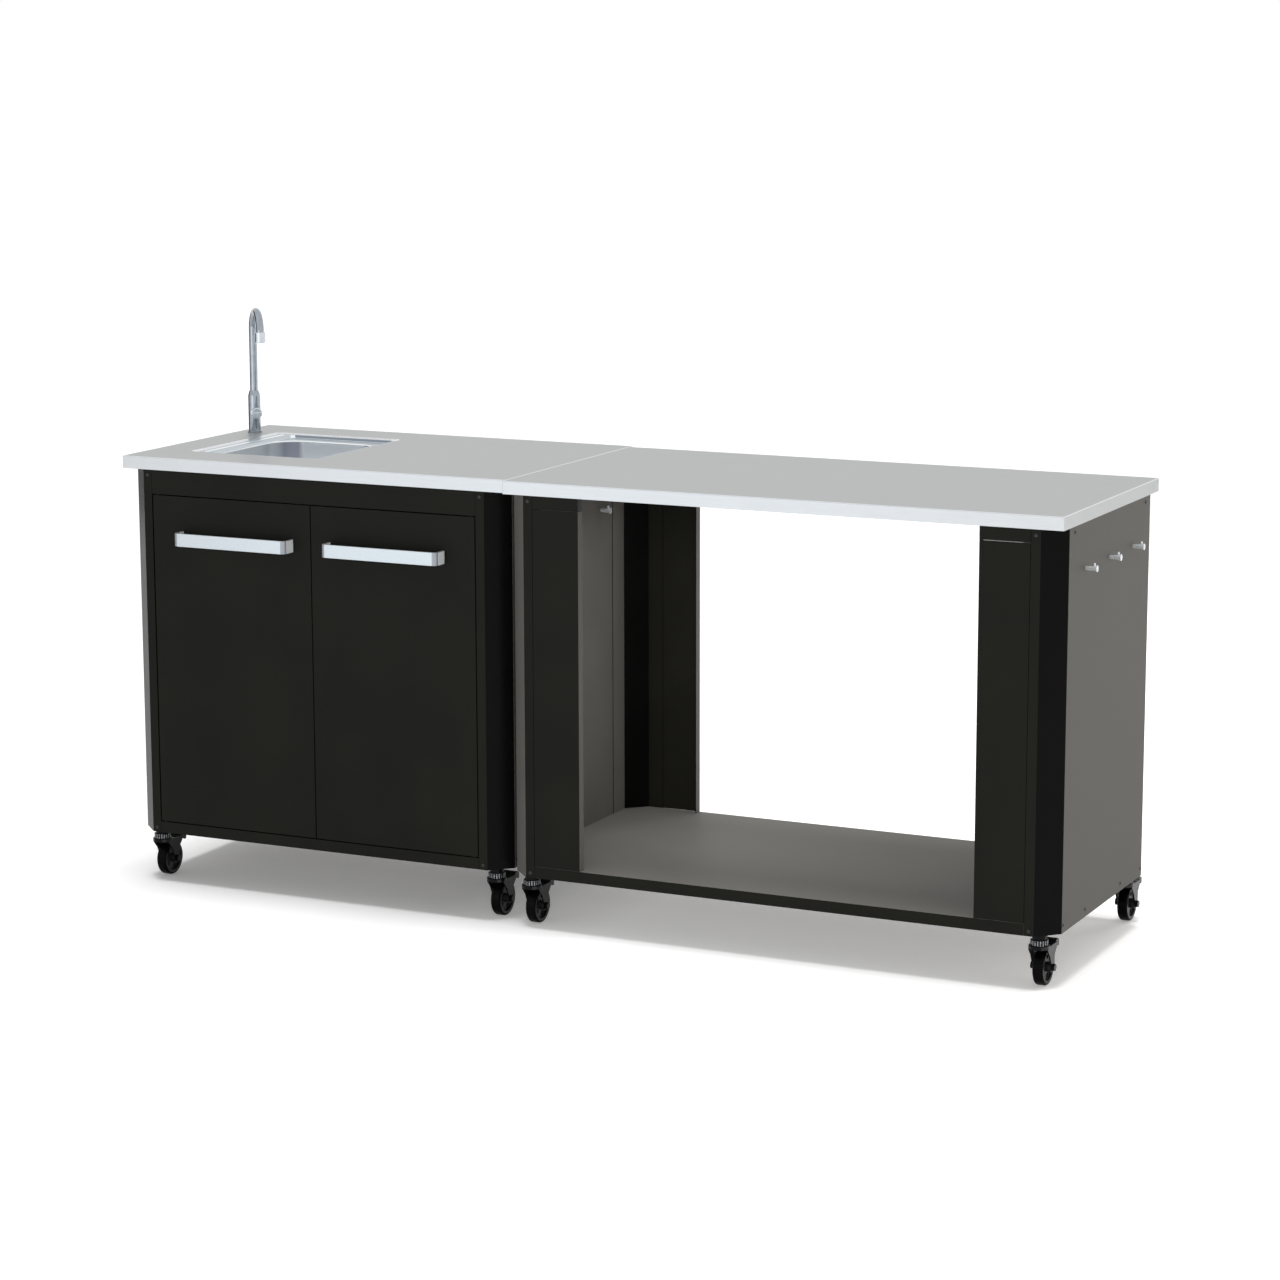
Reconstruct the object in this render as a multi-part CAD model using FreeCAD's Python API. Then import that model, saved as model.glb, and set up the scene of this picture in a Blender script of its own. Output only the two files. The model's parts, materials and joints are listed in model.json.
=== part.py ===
import FreeCAD, Part
import math
import os

# Outdoor kitchen: a sink cabinet with two doors beside an open table with a shelf.
# Both stand on braked swivel casters and their worktops meet edge to edge.
# Lengths are millimetres. While the pieces are made, x is 0 at the seam between the worktops,
# y is 0 at the front edge of the table's worktop and z is 0 on the floor.
# At the end everything moves by one shift, so that the origin is under the middle of the whole.

# Whole unit
table_width = 1200.0
cabinet_width = 930.0
unit_depth = 600.0
unit_height = 936.0
ground_gap = 110.0
worktop_edge = 27.0
cabinet_set_back = 14.0
table_side_overhang = 3.5
cabinet_side_overhang = 8.5
end_overhang = 2.0

# Sheet metal, and the clearances between pieces
sheet = 1.5
seam = 0.4
assembly_gap = 0.2
fixed_fit = 0.05
running_fit = 0.05
running_gap = 0.3
overrun = 5.0

# Worktops
edge_round = 1.5
lip_width = 12.0
stiffener_width = 40.0
table_stiffener_shares = (0.25, 0.5, 0.75)
cabinet_stiffener_shares = (0.58, 0.82)

# Corner posts and side panels
chamfer = 43.0
post_strip = 20.0
post_flange = 55.0
lap = 15.0
panel_flange = 12.0

# Rails, shelf and fillers
bottom_rail_height = 24.0
bottom_rail_flange = 20.0
top_rail_height = 52.0
top_rail_flange = 34.0
filler_width = 104.0
filler_return = 20.0
bracket_height = 27.0

# Corner plates that carry the casters
plate_thick = 3.0
plate_reach = 95.0

# Screws
screw_radius = 2.0
screw_length = 7.0
screw_head_radius = 3.6
screw_head_height = 1.6
screw_socket_radius = 1.4
screw_socket_depth = 0.8
strip_screw_from_bottom = 10.0
strip_screw_from_top = 12.0
side_screw_from_top = 13.0
side_screw_from_bottom = 16.0
side_top_screw_from_end = 75.0
side_outer_screw_from_end = 50.0
side_inner_screw_from_end = 185.0

# Utensil hooks
hook_below_body_top = 92.0
hook_first_from_front = 145.0
hook_pitch = 150.0
hook_count = 3
hook_length = 24.0
hook_root_radius = 3.8
hook_end_radius = 5.2
hook_disc_radius = 6.5
hook_disc_thick = 2.0
hook_nib_radius = 2.4
hook_nib_height = 11.0
hook_nib_from_end = 6.0
hook_stud_radius = 2.5
hook_nut_radius = 4.6
hook_nut_thick = 3.2

# Sink
recess_from_side = 91.0
recess_from_front = 124.0
recess_width = 322.0
recess_length = 367.0
recess_corner = 14.0
ledge_depth = 2.5
ledge_slope = 10.0
ledge_width = 45.0
pocket_margin = 13.0
pocket_depth = 6.0
pocket_slope = 2.0
basin_from_recess_side = 51.0
basin_width = 252.0
basin_from_recess_front = 20.0
basin_length = 282.0
basin_corner = 60.0
basin_depth = 140.0
basin_bottom_round = 20.0
basin_flange = 8.0
basin_mouth_round = 1.0

# Drain
drain_hole_radius = 24.0
drain_disc_radius = 33.0
drain_disc_thick = 2.0
drain_sleeve_radius = 22.0
drain_sleeve_wall = 2.5
drain_sleeve_length = 24.0
strainer_depth = 4.0
strainer_thick = 1.6
strainer_hole_radius = 2.4
strainer_ring_radius = 11.0
strainer_ring_count = 8
tail_collar_radius = 32.0
tail_collar_height = 14.0
tail_radius = 20.0
tail_wall = 2.5
tail_length = 110.0

# Tap
tap_from_side = 45.0
tap_from_front = 467.0
tap_turn_deg = -47.0
tap_flange_radius = 16.0
tap_flange_height = 4.0
tap_body_radius = 13.5
tap_body_height = 84.0
tap_cone_height = 11.0
tap_neck_radius = 10.2
tap_shank_radius = 10.4
tap_shank_length = 16.0
tap_tail_radius = 9.0
tap_tail_length = 44.0
tap_hole_radius = 11.0
tap_water_radius = 4.0
spout_radius = 8.6
spout_wall = 1.4
spout_socket_depth = 26.0
spout_bend_radius = 42.0
spout_top = 285.0
spout_tip = 9.0
aerator_radius = 11.6
aerator_height = 23.0
aerator_wall = 2.2
aerator_round = 1.2
knob_height = 46.0
knob_boss_radius = 9.0
knob_boss_reach = 17.0
knob_radius = 12.2
knob_thick = 12.0
knob_round = 2.0
knob_pin_radius = 4.0
knob_pin_length = 7.0
knob_bar_length = 21.0
knob_bar_width = 5.0
knob_bar_height = 4.0
knob_bar_turn_deg = 45.0
nut_radius = 17.0
nut_thick = 9.0
washer_radius = 20.0
washer_thick = 2.0

# Doors
door_gap = 2.5
door_depth = 18.0
pivot_from_edge = 10.0
pivot_depth = 6.0
hinge_pin_radius = 3.0
hinge_collar_radius = 5.0
hinge_pin_reach = 9.0
magnet_width = 30.0
magnet_height = 14.0
magnet_depth = 13.0
magnet_from_middle = 12.0

# Handles
handle_length = 277.0
handle_from_inner_edge = 42.0
handle_height = 28.0
handle_below_door_top = 74.0
handle_reach = 36.0
handle_thick = 5.0
handle_corner = 12.0
handle_edge_round = 0.8
handle_screw_radius = 1.6
handle_screw_length = 12.0
handle_screw_head_radius = 3.2
handle_screw_head_height = 2.0

# Casters
caster_from_side = 41.0
table_caster_from_front = 30.0
cabinet_caster_from_front = 38.0
wheel_radius = 37.5
wheel_width = 22.0
tread_round = 4.5
hub_radius = 10.0
hub_recess_outer = 28.0
hub_recess_depth = 5.0
window_radius = 5.2
window_ring_radius = 19.5
window_count = 5
axle_radius = 4.0
axle_head_radius = 7.0
axle_head_thick = 4.5
trail = 27.0
wheel_side_gap = 7.0
blade_thick = 2.5
blade_boss_radius = 8.0
blade_front_reach = 6.0
blade_front_drop = 3.0
blade_waist_height = 62.0
blade_waist_reach = 19.0
blade_rear_drop = 10.0
crown_bottom = 80.5
crown_thick = 4.0
head_radius = 21.0
head_top = 88.0
head_round = 1.5
kingpin_radius = 6.0
kingpin_collar_radius = 9.0
kingpin_collar_thick = 3.0
ring_radius = 17.8
ring_height = 10.0
ring_tooth_depth = 1.8
ring_tooth_count = 20
ring_tooth_share = 0.5
stem_neck_radius = 14.0
stem_flange_radius = 17.0
stem_flange_thick = 3.0
stem_radius = 5.0
stem_above_plate = 12.5
stem_nut_radius = 8.6
stem_nut_thick = 7.0

# Brake pedals: the tab's side outline is given by reaches behind its pin and rises above it
pedal_pin_from_axle = 13.0
pedal_pin_height = 79.0
pedal_pin_radius = 2.0
pedal_barrel_radius = 4.5
pedal_side_gap = 0.5
pedal_blade_gap = 1.4
pedal_tab_width = 37.0
pedal_knee_reach = 12.0
pedal_top_reach = 22.0
pedal_top_rise = 9.0
pedal_tip_reach = 27.0
pedal_tip_rise = 5.0
pedal_tip_drop = 4.0
pedal_beak_reach = 24.0
pedal_beak_drop = 7.0
pedal_hollow_reach = 18.0
pedal_hollow_drop = 5.5
pedal_throat_reach = 9.0
pedal_throat_drop = 1.5
pedal_edge_round = 1.2
pedal_shoe_out = 5.0
pedal_shoe_drop = 3.0
pedal_shoe_gap = 0.34
pedal_travel_deg = 20.0

V = FreeCAD.Vector
X = V(1, 0, 0)
Y = V(0, 1, 0)
Z = V(0, 0, 1)
nodes = {}


# Shape helpers

def box(x0, y0, z0, x1, y1, z1):
    return Part.makeBox(x1 - x0, y1 - y0, z1 - z0, V(x0, y0, z0))


def cylinder(radius, length, base, direction=Z):
    return Part.makeCylinder(radius, length, base, direction)


def prism(points, z0, z1):
    """An upright solid over a plan outline."""
    wire = Part.makePolygon([V(x, y, z0) for x, y in points + points[:1]])
    solid = Part.Face(wire).extrude(V(0, 0, z1 - z0))
    return solid if solid.Volume > 0 else solid.reversed()


def side_prism(points, x0, x1):
    """A solid over an outline in y and z, from x0 to x1."""
    wire = Part.makePolygon([V(x0, y, z) for y, z in points + points[:1]])
    solid = Part.Face(wire).extrude(V(x1 - x0, 0, 0))
    return solid if solid.Volume > 0 else solid.reversed()


def fuse(pieces):
    return pieces[0].multiFuse(pieces[1:]).removeSplitter()


def cut(shape, tools):
    return shape.cut(Part.makeCompound(tools)).removeSplitter()


def revolve(points, base, direction=Z):
    """A turned piece from radius and height pairs, about an axis from base."""
    wire = Part.makePolygon([V(r, 0, h) for r, h in points + points[:1]])
    solid = Part.Face(wire).revolve(V(0, 0, 0), Z, 360)
    solid = solid if solid.Volume > 0 else solid.reversed()
    solid.Placement = FreeCAD.Placement(base, FreeCAD.Rotation(Z, direction))
    return solid


def hexagon(radius, z0, z1, x, y):
    corners = [math.radians(60 * k) for k in range(6)]
    return prism([(x + radius * math.cos(a), y + radius * math.sin(a)) for a in corners], z0, z1)


def round_edges(shape, radius, keep):
    return shape.makeFillet(radius, [edge for edge in shape.Edges if keep(edge)])


def rounded_rectangle(x0, y0, x1, y1, radius, z):
    """A closed wire with a quarter circle at each corner."""
    k = radius * (1 - math.sqrt(0.5))
    spots = [((x0 + radius, y0), (x1 - radius, y0), (x1 - k, y0 + k), (x1, y0 + radius)),
             ((x1, y0 + radius), (x1, y1 - radius), (x1 - k, y1 - k), (x1 - radius, y1)),
             ((x1 - radius, y1), (x0 + radius, y1), (x0 + k, y1 - k), (x0, y1 - radius)),
             ((x0, y1 - radius), (x0, y0 + radius), (x0 + k, y0 + k), (x0 + radius, y0))]
    edges = []
    for start, stop, middle, finish in spots:
        line = [V(start[0], start[1], z), V(stop[0], stop[1], z)]
        edges.append(Part.LineSegment(line[0], line[1]).toShape())
        edges.append(Part.Arc(line[1], V(middle[0], middle[1], z), V(finish[0], finish[1], z)).toShape())
    return Part.Wire(edges)


def add(name, pieces):
    """Keep a node: one solid, or a group of separate ones."""
    nodes[name] = pieces[0] if len(pieces) == 1 else Part.makeCompound(pieces)


# Plan of each unit: its worktop, its body and the way to its corners

class Unit:
    def __init__(self, left, width, front, side_overhang, caster_from_front):
        self.left = left
        self.right = left + width
        self.front = front
        self.back = front + unit_depth
        self.x0 = self.left + side_overhang
        self.x1 = self.right - side_overhang
        self.y0 = self.front + end_overhang
        self.y1 = self.back - end_overhang
        self.middle_x = (self.x0 + self.x1) / 2
        self.caster_from_front = caster_from_front

    def corner(self, at_right, at_back, points):
        """Turn distances in from a corner of the body into plan points."""
        placed = []
        for u, v in points:
            x = self.x1 - u if at_right else self.x0 + u
            y = self.y1 - v if at_back else self.y0 + v
            placed.append((x, y))
        return placed

    def caster_places(self):
        """The swivel axes, front pair first."""
        places = []
        for at_back in (False, True):
            for at_right in (False, True):
                spot = self.corner(at_right, at_back, [(caster_from_side, self.caster_from_front)])
                places.append(spot[0])
        return places


table = Unit(0, table_width, 0, table_side_overhang, table_caster_from_front)
cabinet = Unit(-cabinet_width, cabinet_width, cabinet_set_back, cabinet_side_overhang,
               cabinet_caster_from_front)
units = (cabinet, table)

body_bottom = ground_gap
body_top = unit_height - worktop_edge
rail_top = body_bottom + bottom_rail_height
strip_end = chamfer + post_strip
root_two = math.sqrt(2)


# Screws: each site is a point on the outer face and the way the screw goes in

def strip_screws(unit):
    sites = []
    for at_back in (False, True):
        for at_right in (False, True):
            x, y = unit.corner(at_right, at_back, [(chamfer + post_strip / 2, 0)])[0]
            inwards = -Y if at_back else Y
            for z in (body_bottom + strip_screw_from_bottom, body_top - strip_screw_from_top):
                sites.append((V(x, y, z), inwards))
    return sites


def side_screws(unit):
    sites = []
    for x, inwards in ((unit.x0, X), (unit.x1, -X)):
        for from_end, z in ((side_top_screw_from_end, body_top - side_screw_from_top),
                            (side_outer_screw_from_end, body_bottom + side_screw_from_bottom),
                            (side_inner_screw_from_end, body_bottom + side_screw_from_bottom)):
            sites.append((V(x, unit.y0 + from_end, z), inwards))
            sites.append((V(x, unit.y1 - from_end, z), inwards))
    return sites


screw_sites = []
for each_unit in units:
    screw_sites += strip_screws(each_unit) + side_screws(each_unit)


def drilled(shape):
    """The shape with a clearance hole at each screw that meets it."""
    holes = []
    for place, inwards in screw_sites:
        start = place - inwards * overrun / 2
        hole = cylinder(screw_radius + fixed_fit, screw_length + overrun, start, inwards)
        if hole.BoundBox.intersect(shape.BoundBox):
            holes.append(hole)
    return cut(shape, holes) if holes else shape


def screw(place, inwards):
    profile = [(0, -screw_head_height), (screw_head_radius - screw_head_height / 2, -screw_head_height),
               (screw_head_radius, -screw_head_height / 2), (screw_head_radius, 0),
               (screw_radius, 0), (screw_radius, screw_length), (0, screw_length)]
    solid = revolve(profile, place, inwards)
    socket = cylinder(screw_socket_radius, screw_socket_depth + overrun,
                      place - inwards * (screw_head_height + overrun), inwards)
    return cut(solid, [socket])


# Casters

axle_height = wheel_radius
fork_half = wheel_width / 2 + wheel_side_gap
fork_outer = fork_half + blade_thick
pedal_pin_y = trail + pedal_pin_from_axle
blade_rear = pedal_pin_y + pedal_barrel_radius + blade_thick


def caster_stem(x, y):
    """Threaded stem with its mounting flange, toothed ring and kingpin, turned in one piece."""
    ring_bottom = head_top + running_gap
    ring_top = ring_bottom + ring_height
    flange_bottom = ground_gap - stem_flange_thick
    collar_top = crown_bottom - running_gap
    collar_bottom = collar_top - kingpin_collar_thick
    stem_top = ground_gap + plate_thick + stem_above_plate
    profile = [(0, collar_bottom), (kingpin_collar_radius, collar_bottom),
               (kingpin_collar_radius, collar_top), (kingpin_radius, collar_top),
               (kingpin_radius, ring_bottom), (ring_radius, ring_bottom), (ring_radius, ring_top),
               (stem_neck_radius, ring_top), (stem_neck_radius, flange_bottom),
               (stem_flange_radius, flange_bottom),
               (stem_flange_radius, ground_gap), (stem_radius, ground_gap),
               (stem_radius, stem_top), (0, stem_top)]
    solid = revolve(profile, V(x, y, 0))
    pitch = 360.0 / ring_tooth_count
    notch_width = 2 * math.pi * ring_radius / ring_tooth_count * ring_tooth_share
    notches = []
    for k in range(ring_tooth_count):
        notch = box(ring_radius - ring_tooth_depth, -notch_width / 2, ring_bottom - overrun,
                    ring_radius + overrun, notch_width / 2, ring_top)
        notch.rotate(V(0, 0, 0), Z, k * pitch)
        notch.translate(V(x, y, 0))
        notches.append(notch)
    return cut(solid, notches)


def stem_nut(x, y):
    bottom = ground_gap + plate_thick
    nut = hexagon(stem_nut_radius, bottom, bottom + stem_nut_thick, x, y)
    bore = cylinder(stem_radius + fixed_fit, stem_nut_thick + 2 * overrun, V(x, y, bottom - overrun))
    return cut(nut, [bore])


def caster_fork(x, y):
    """Pressed fork with a round head, two blades down to the axle, and eyes for the pedal's pin."""
    crown_top = crown_bottom + crown_thick
    head = cylinder(head_radius, head_top - crown_bottom, V(0, 0, crown_bottom))
    head = round_edges(head, head_round, lambda edge: edge.BoundBox.ZMin > crown_top)
    rear_foot = trail + blade_boss_radius
    outline = [(trail - blade_boss_radius, axle_height), (rear_foot, axle_height),
               (rear_foot, blade_waist_height), (blade_rear, crown_top - blade_rear_drop),
               (blade_rear, crown_top), (-blade_front_reach, crown_top),
               (-blade_front_reach, crown_bottom - blade_front_drop),
               (trail - blade_waist_reach, blade_waist_height)]
    pieces = [head, box(-fork_outer, -blade_front_reach, crown_bottom, fork_outer, head_radius, crown_top)]
    for side in (-1, 1):
        near, far = sorted((side * fork_half, side * fork_outer))
        pieces.append(side_prism(outline, near, far))
        pieces.append(cylinder(blade_boss_radius, blade_thick, V(near, trail, axle_height), X))
    width = 2 * fork_outer + 2 * overrun
    start = -fork_outer - overrun
    holes = [cylinder(kingpin_radius + running_fit, head_top, V(0, 0, crown_bottom - overrun)),
             cylinder(axle_radius + fixed_fit, width, V(start, trail, axle_height), X),
             cylinder(pedal_pin_radius + fixed_fit, width, V(start, pedal_pin_y, pedal_pin_height), X)]
    fork = cut(fuse(pieces), holes)
    axle_half = fork_outer + axle_head_thick
    axle = fuse([cylinder(axle_radius, 2 * axle_half, V(-axle_half, trail, axle_height), X),
                 cylinder(axle_head_radius, axle_head_thick, V(-axle_half, trail, axle_height), X),
                 cylinder(axle_head_radius, axle_head_thick, V(fork_outer, trail, axle_height), X)])
    pin = cylinder(pedal_pin_radius, 2 * fork_outer, V(-fork_outer, pedal_pin_y, pedal_pin_height), X)
    placed = []
    for solid in (fork, axle, pin):
        solid.translate(V(x, y, 0))
        placed.append(solid)
    return placed


def caster_wheel(x, y):
    """A rounded tread, a ring-shaped hollow each side, round windows and a hub almost to the blades."""
    half = wheel_width / 2
    half_hub = fork_half - running_gap
    wheel = cylinder(wheel_radius, wheel_width, V(-half, 0, 0), X)
    wheel = round_edges(wheel, tread_round, lambda edge: len(edge.Vertexes) == 1)
    wheel = fuse([wheel, cylinder(hub_radius, 2 * half_hub, V(-half_hub, 0, 0), X)])
    tools = [cylinder(axle_radius + running_fit, 2 * fork_half, V(-fork_half, 0, 0), X)]
    for start in (-half - overrun, half - hub_recess_depth):
        ring = cylinder(hub_recess_outer, hub_recess_depth + overrun, V(start, 0, 0), X)
        core = cylinder(hub_radius, hub_recess_depth + overrun, V(start, 0, 0), X)
        tools.append(ring.cut(core))
    for k in range(window_count):
        angle = math.radians(360.0 * k / window_count)
        across = window_ring_radius * math.cos(angle)
        rise = window_ring_radius * math.sin(angle)
        tools.append(cylinder(window_radius, wheel_width + 2 * overrun, V(-half - overrun, across, rise), X))
    wheel = cut(wheel, tools)
    wheel.translate(V(x, y + trail, axle_height))
    return wheel


def caster_brake(x, y):
    """Foot pedal on its pin. Its shoe stops just short of the tread when the pedal is right down."""
    travel = math.radians(pedal_travel_deg)
    shoe_y = pedal_shoe_out * math.cos(travel) - pedal_shoe_drop * math.sin(travel)
    shoe_z = -pedal_shoe_out * math.sin(travel) - pedal_shoe_drop * math.cos(travel)
    from_axle = math.hypot(pedal_pin_from_axle + shoe_y, pedal_pin_height + shoe_z - axle_height)
    shoe_radius = from_axle - wheel_radius - pedal_shoe_gap
    half = fork_half - pedal_side_gap
    half_tab = pedal_tab_width / 2
    clear_of_blades = blade_rear + pedal_blade_gap - pedal_pin_y
    outline = [(0, pedal_barrel_radius), (pedal_knee_reach, pedal_top_rise),
               (pedal_top_reach, pedal_top_rise), (pedal_tip_reach, pedal_tip_rise),
               (pedal_tip_reach, -pedal_tip_drop),
               (pedal_beak_reach, -pedal_beak_drop), (pedal_hollow_reach, -pedal_hollow_drop),
               (pedal_throat_reach, -pedal_throat_drop), (0, 0)]
    tab = side_prism(outline, -half_tab, half_tab)
    beside_blades = box(-half_tab, -pedal_barrel_radius, -pedal_beak_drop,
                        half_tab, clear_of_blades, pedal_top_rise)
    between_blades = box(-half, -pedal_barrel_radius, -pedal_beak_drop,
                         half, clear_of_blades, pedal_top_rise)
    tab = fuse([tab.cut(beside_blades), tab.common(between_blades)])
    tab = round_edges(tab, pedal_edge_round, lambda edge: edge.BoundBox.YMin > pedal_top_reach - running_gap)
    barrel = cylinder(pedal_barrel_radius, 2 * half, V(-half, 0, 0), X)
    shoe = cylinder(shoe_radius, 2 * half, V(-half, pedal_shoe_out, -pedal_shoe_drop), X)
    bore = cylinder(pedal_pin_radius + running_fit, 2 * fork_half, V(-fork_half, 0, 0), X)
    pedal = cut(fuse([barrel, shoe, tab]), [bore])
    pedal.translate(V(x, y + pedal_pin_y, pedal_pin_height))
    return pedal


caster_places = cabinet.caster_places() + table.caster_places()
for number, (caster_x, caster_y) in enumerate(caster_places, 1):
    add("caster_fork_%d" % number, caster_fork(caster_x, caster_y))
    add("caster_wheel_%d" % number, [caster_wheel(caster_x, caster_y)])
    add("caster_brake_%d" % number, [caster_brake(caster_x, caster_y)])
add("caster_stems", [caster_stem(x, y) for x, y in caster_places]
    + [stem_nut(x, y) for x, y in caster_places])


# Corner plates: one inside the foot of each post, bolted to a caster's stem

def corner_plate(unit, at_right, at_back):
    inner = 2 * sheet
    slope = chamfer + root_two * sheet
    outline = unit.corner(at_right, at_back, [(slope - inner, inner), (plate_reach, inner),
                                              (plate_reach, plate_reach), (inner, plate_reach),
                                              (inner, slope - inner)])
    plate = prism(outline, body_bottom, body_bottom + plate_thick)
    x, y = unit.corner(at_right, at_back, [(caster_from_side, unit.caster_from_front)])[0]
    hole = cylinder(stem_radius + fixed_fit, plate_thick + 2 * overrun, V(x, y, body_bottom - overrun))
    return cut(plate, [hole])


corners = ((False, False), (True, False), (False, True), (True, True))
add("corner_plates", [corner_plate(unit, right, back) for unit in units for right, back in corners])


# Corner posts: a front strip, a 45 degree chamfer and a flange behind the side panel, folded from one sheet

def post(unit, at_right, at_back):
    bend = (root_two - 1) * sheet
    flange_end = chamfer + post_flange
    section = [(strip_end, 0), (chamfer, 0), (0, chamfer), (sheet, chamfer), (sheet, flange_end),
               (2 * sheet, flange_end), (2 * sheet, chamfer + bend - sheet), (chamfer + bend, sheet),
               (strip_end, sheet)]
    return drilled(prism(unit.corner(at_right, at_back, section), body_bottom, body_top))


for unit_name, unit in (("cabinet", cabinet), ("table", table)):
    add(unit_name + "_front_posts", [post(unit, False, False), post(unit, True, False)])
    add(unit_name + "_back_posts", [post(unit, False, True), post(unit, True, True)])


# Side panels: between the chamfers, with a flange along the top under the worktop's lip

def side_panel(unit, at_right):
    start = chamfer + seam
    top_start = chamfer + post_flange + assembly_gap
    low = unit.y0 + start
    high = unit.y1 - start
    if at_right:
        wall = box(unit.x1 - sheet, low, body_bottom, unit.x1, high, body_top)
        flange = box(unit.x1 - sheet - panel_flange, unit.y0 + top_start, body_top - sheet,
                     unit.x1 - sheet, unit.y1 - top_start, body_top)
    else:
        wall = box(unit.x0, low, body_bottom, unit.x0 + sheet, high, body_top)
        flange = box(unit.x0 + sheet, unit.y0 + top_start, body_top - sheet,
                     unit.x0 + sheet + panel_flange, unit.y1 - top_start, body_top)
    return drilled(fuse([wall, flange]))


add("cabinet_left_side", [side_panel(cabinet, False)])
add("cabinet_right_side", [side_panel(cabinet, True)])


# Utensil hooks: three pegs on the outside of the right panel and three inside the left one

hook_ys = [table.front + hook_first_from_front + k * hook_pitch for k in range(hook_count)]
hook_height = body_top - hook_below_body_top
hook_faces = (table.x1, table.x0 + sheet)


def hook(face_x, y):
    body_end = hook_length - hook_disc_thick
    inside = sheet + hook_nut_thick
    profile = [(0, -inside), (hook_stud_radius, -inside), (hook_stud_radius, 0), (hook_root_radius, 0),
               (hook_end_radius, body_end), (hook_disc_radius, body_end), (hook_disc_radius, hook_length),
               (0, hook_length)]
    peg = revolve(profile, V(face_x, y, hook_height), X)
    nib_x = face_x + hook_length - hook_nib_from_end
    nib_straight = hook_nib_height - hook_nib_radius
    nib = fuse([cylinder(hook_nib_radius, nib_straight, V(nib_x, y, hook_height)),
                Part.makeSphere(hook_nib_radius, V(nib_x, y, hook_height + nib_straight))])
    return fuse([peg, nib])


def hook_nut(face_x, y):
    nut = revolve([(hook_stud_radius + fixed_fit, 0), (hook_nut_radius, 0), (hook_nut_radius, hook_nut_thick),
                   (hook_stud_radius + fixed_fit, hook_nut_thick)],
                  V(face_x - sheet - hook_nut_thick, y, hook_height), X)
    return nut


def hook_holes(face_x):
    return [cylinder(hook_stud_radius + fixed_fit, sheet + 2 * overrun,
                     V(face_x - sheet - overrun, y, hook_height), X) for y in hook_ys]


add("table_left_side", [cut(side_panel(table, False), hook_holes(hook_faces[1]))])
add("table_right_side", [cut(side_panel(table, True), hook_holes(hook_faces[0]))])
add("utensil_hooks", [hook(face, y) for face in hook_faces for y in hook_ys])
outer_nuts = [hook_nut(hook_faces[0], y) for y in hook_ys]
inner_nuts = [hook_nut(hook_faces[1], y) for y in hook_ys]


# Shelf of the table and floor of the cabinet: folded trays that fill the plan inside the posts

def tray_plate(unit, front_points, back_points):
    """A level plate whose outline runs through the given points in from each corner."""
    outline = (unit.corner(False, False, front_points[::-1]) + unit.corner(True, False, front_points)
               + unit.corner(True, True, back_points[::-1]) + unit.corner(False, True, back_points))
    return prism(outline, rail_top - sheet, rail_top)


def side_points():
    """From the chamfer to the side panel, clear of the post's flange."""
    inner = 2 * sheet + assembly_gap
    flange_end = chamfer + post_flange + assembly_gap
    slope = chamfer + root_two * (sheet + assembly_gap)
    return [(inner, slope - inner), (inner, flange_end), (sheet, flange_end)]


def side_skirts(unit):
    low = unit.y0 + chamfer + post_flange + assembly_gap
    high = unit.y1 - chamfer - post_flange - assembly_gap
    return [box(unit.x0 + sheet, low, body_bottom, unit.x0 + 2 * sheet, high, rail_top),
            box(unit.x1 - 2 * sheet, low, body_bottom, unit.x1 - sheet, high, rail_top)]


def lap_pair(unit, at_back, z0, z1):
    """The two tongues at the ends of a rail, behind the posts' strips."""
    pieces = []
    for at_right in (False, True):
        a, b = unit.corner(at_right, at_back, [(strip_end - lap, sheet), (strip_end + seam + lap, 2 * sheet)])
        pieces.append(box(min(a[0], b[0]), min(a[1], b[1]), z0, max(a[0], b[0]), max(a[1], b[1]), z1))
    return pieces


def table_shelf():
    unit = table
    behind = sheet + assembly_gap
    slope = chamfer + root_two * (sheet + assembly_gap)
    front = [(strip_end + seam, 0), (strip_end + seam, behind), (slope - behind, behind)] + side_points()
    pieces = [tray_plate(unit, front, front)] + side_skirts(unit)
    left = unit.x0 + strip_end + seam
    right = unit.x1 - strip_end - seam
    pieces.append(box(left, unit.y0, body_bottom, right, unit.y0 + sheet, rail_top))
    pieces.append(box(left, unit.y1 - sheet, body_bottom, right, unit.y1, rail_top))
    pieces += lap_pair(unit, False, body_bottom, rail_top) + lap_pair(unit, True, body_bottom, rail_top)
    return drilled(fuse(pieces))


def cabinet_floor():
    unit = cabinet
    slope = chamfer + root_two * (sheet + assembly_gap)
    front_inset = bottom_rail_flange + assembly_gap
    back_inset = 2 * sheet + assembly_gap
    front = [(slope - front_inset, front_inset)] + side_points()
    back = [(slope - back_inset, back_inset)] + side_points()
    pieces = [tray_plate(unit, front, back)] + side_skirts(unit)
    left = unit.x0 + plate_reach + assembly_gap
    right = unit.x1 - plate_reach - assembly_gap
    front_y = unit.y0 + front_inset
    back_y = unit.y1 - back_inset
    pieces.append(box(left, front_y, body_bottom, right, front_y + sheet, rail_top))
    pieces.append(box(left, back_y - sheet, body_bottom, right, back_y, rail_top))
    return drilled(fuse(pieces))


add("table_shelf", [table_shelf()])
add("cabinet_floor", [cabinet_floor()])


# Table fillers and the short brackets above them

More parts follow.
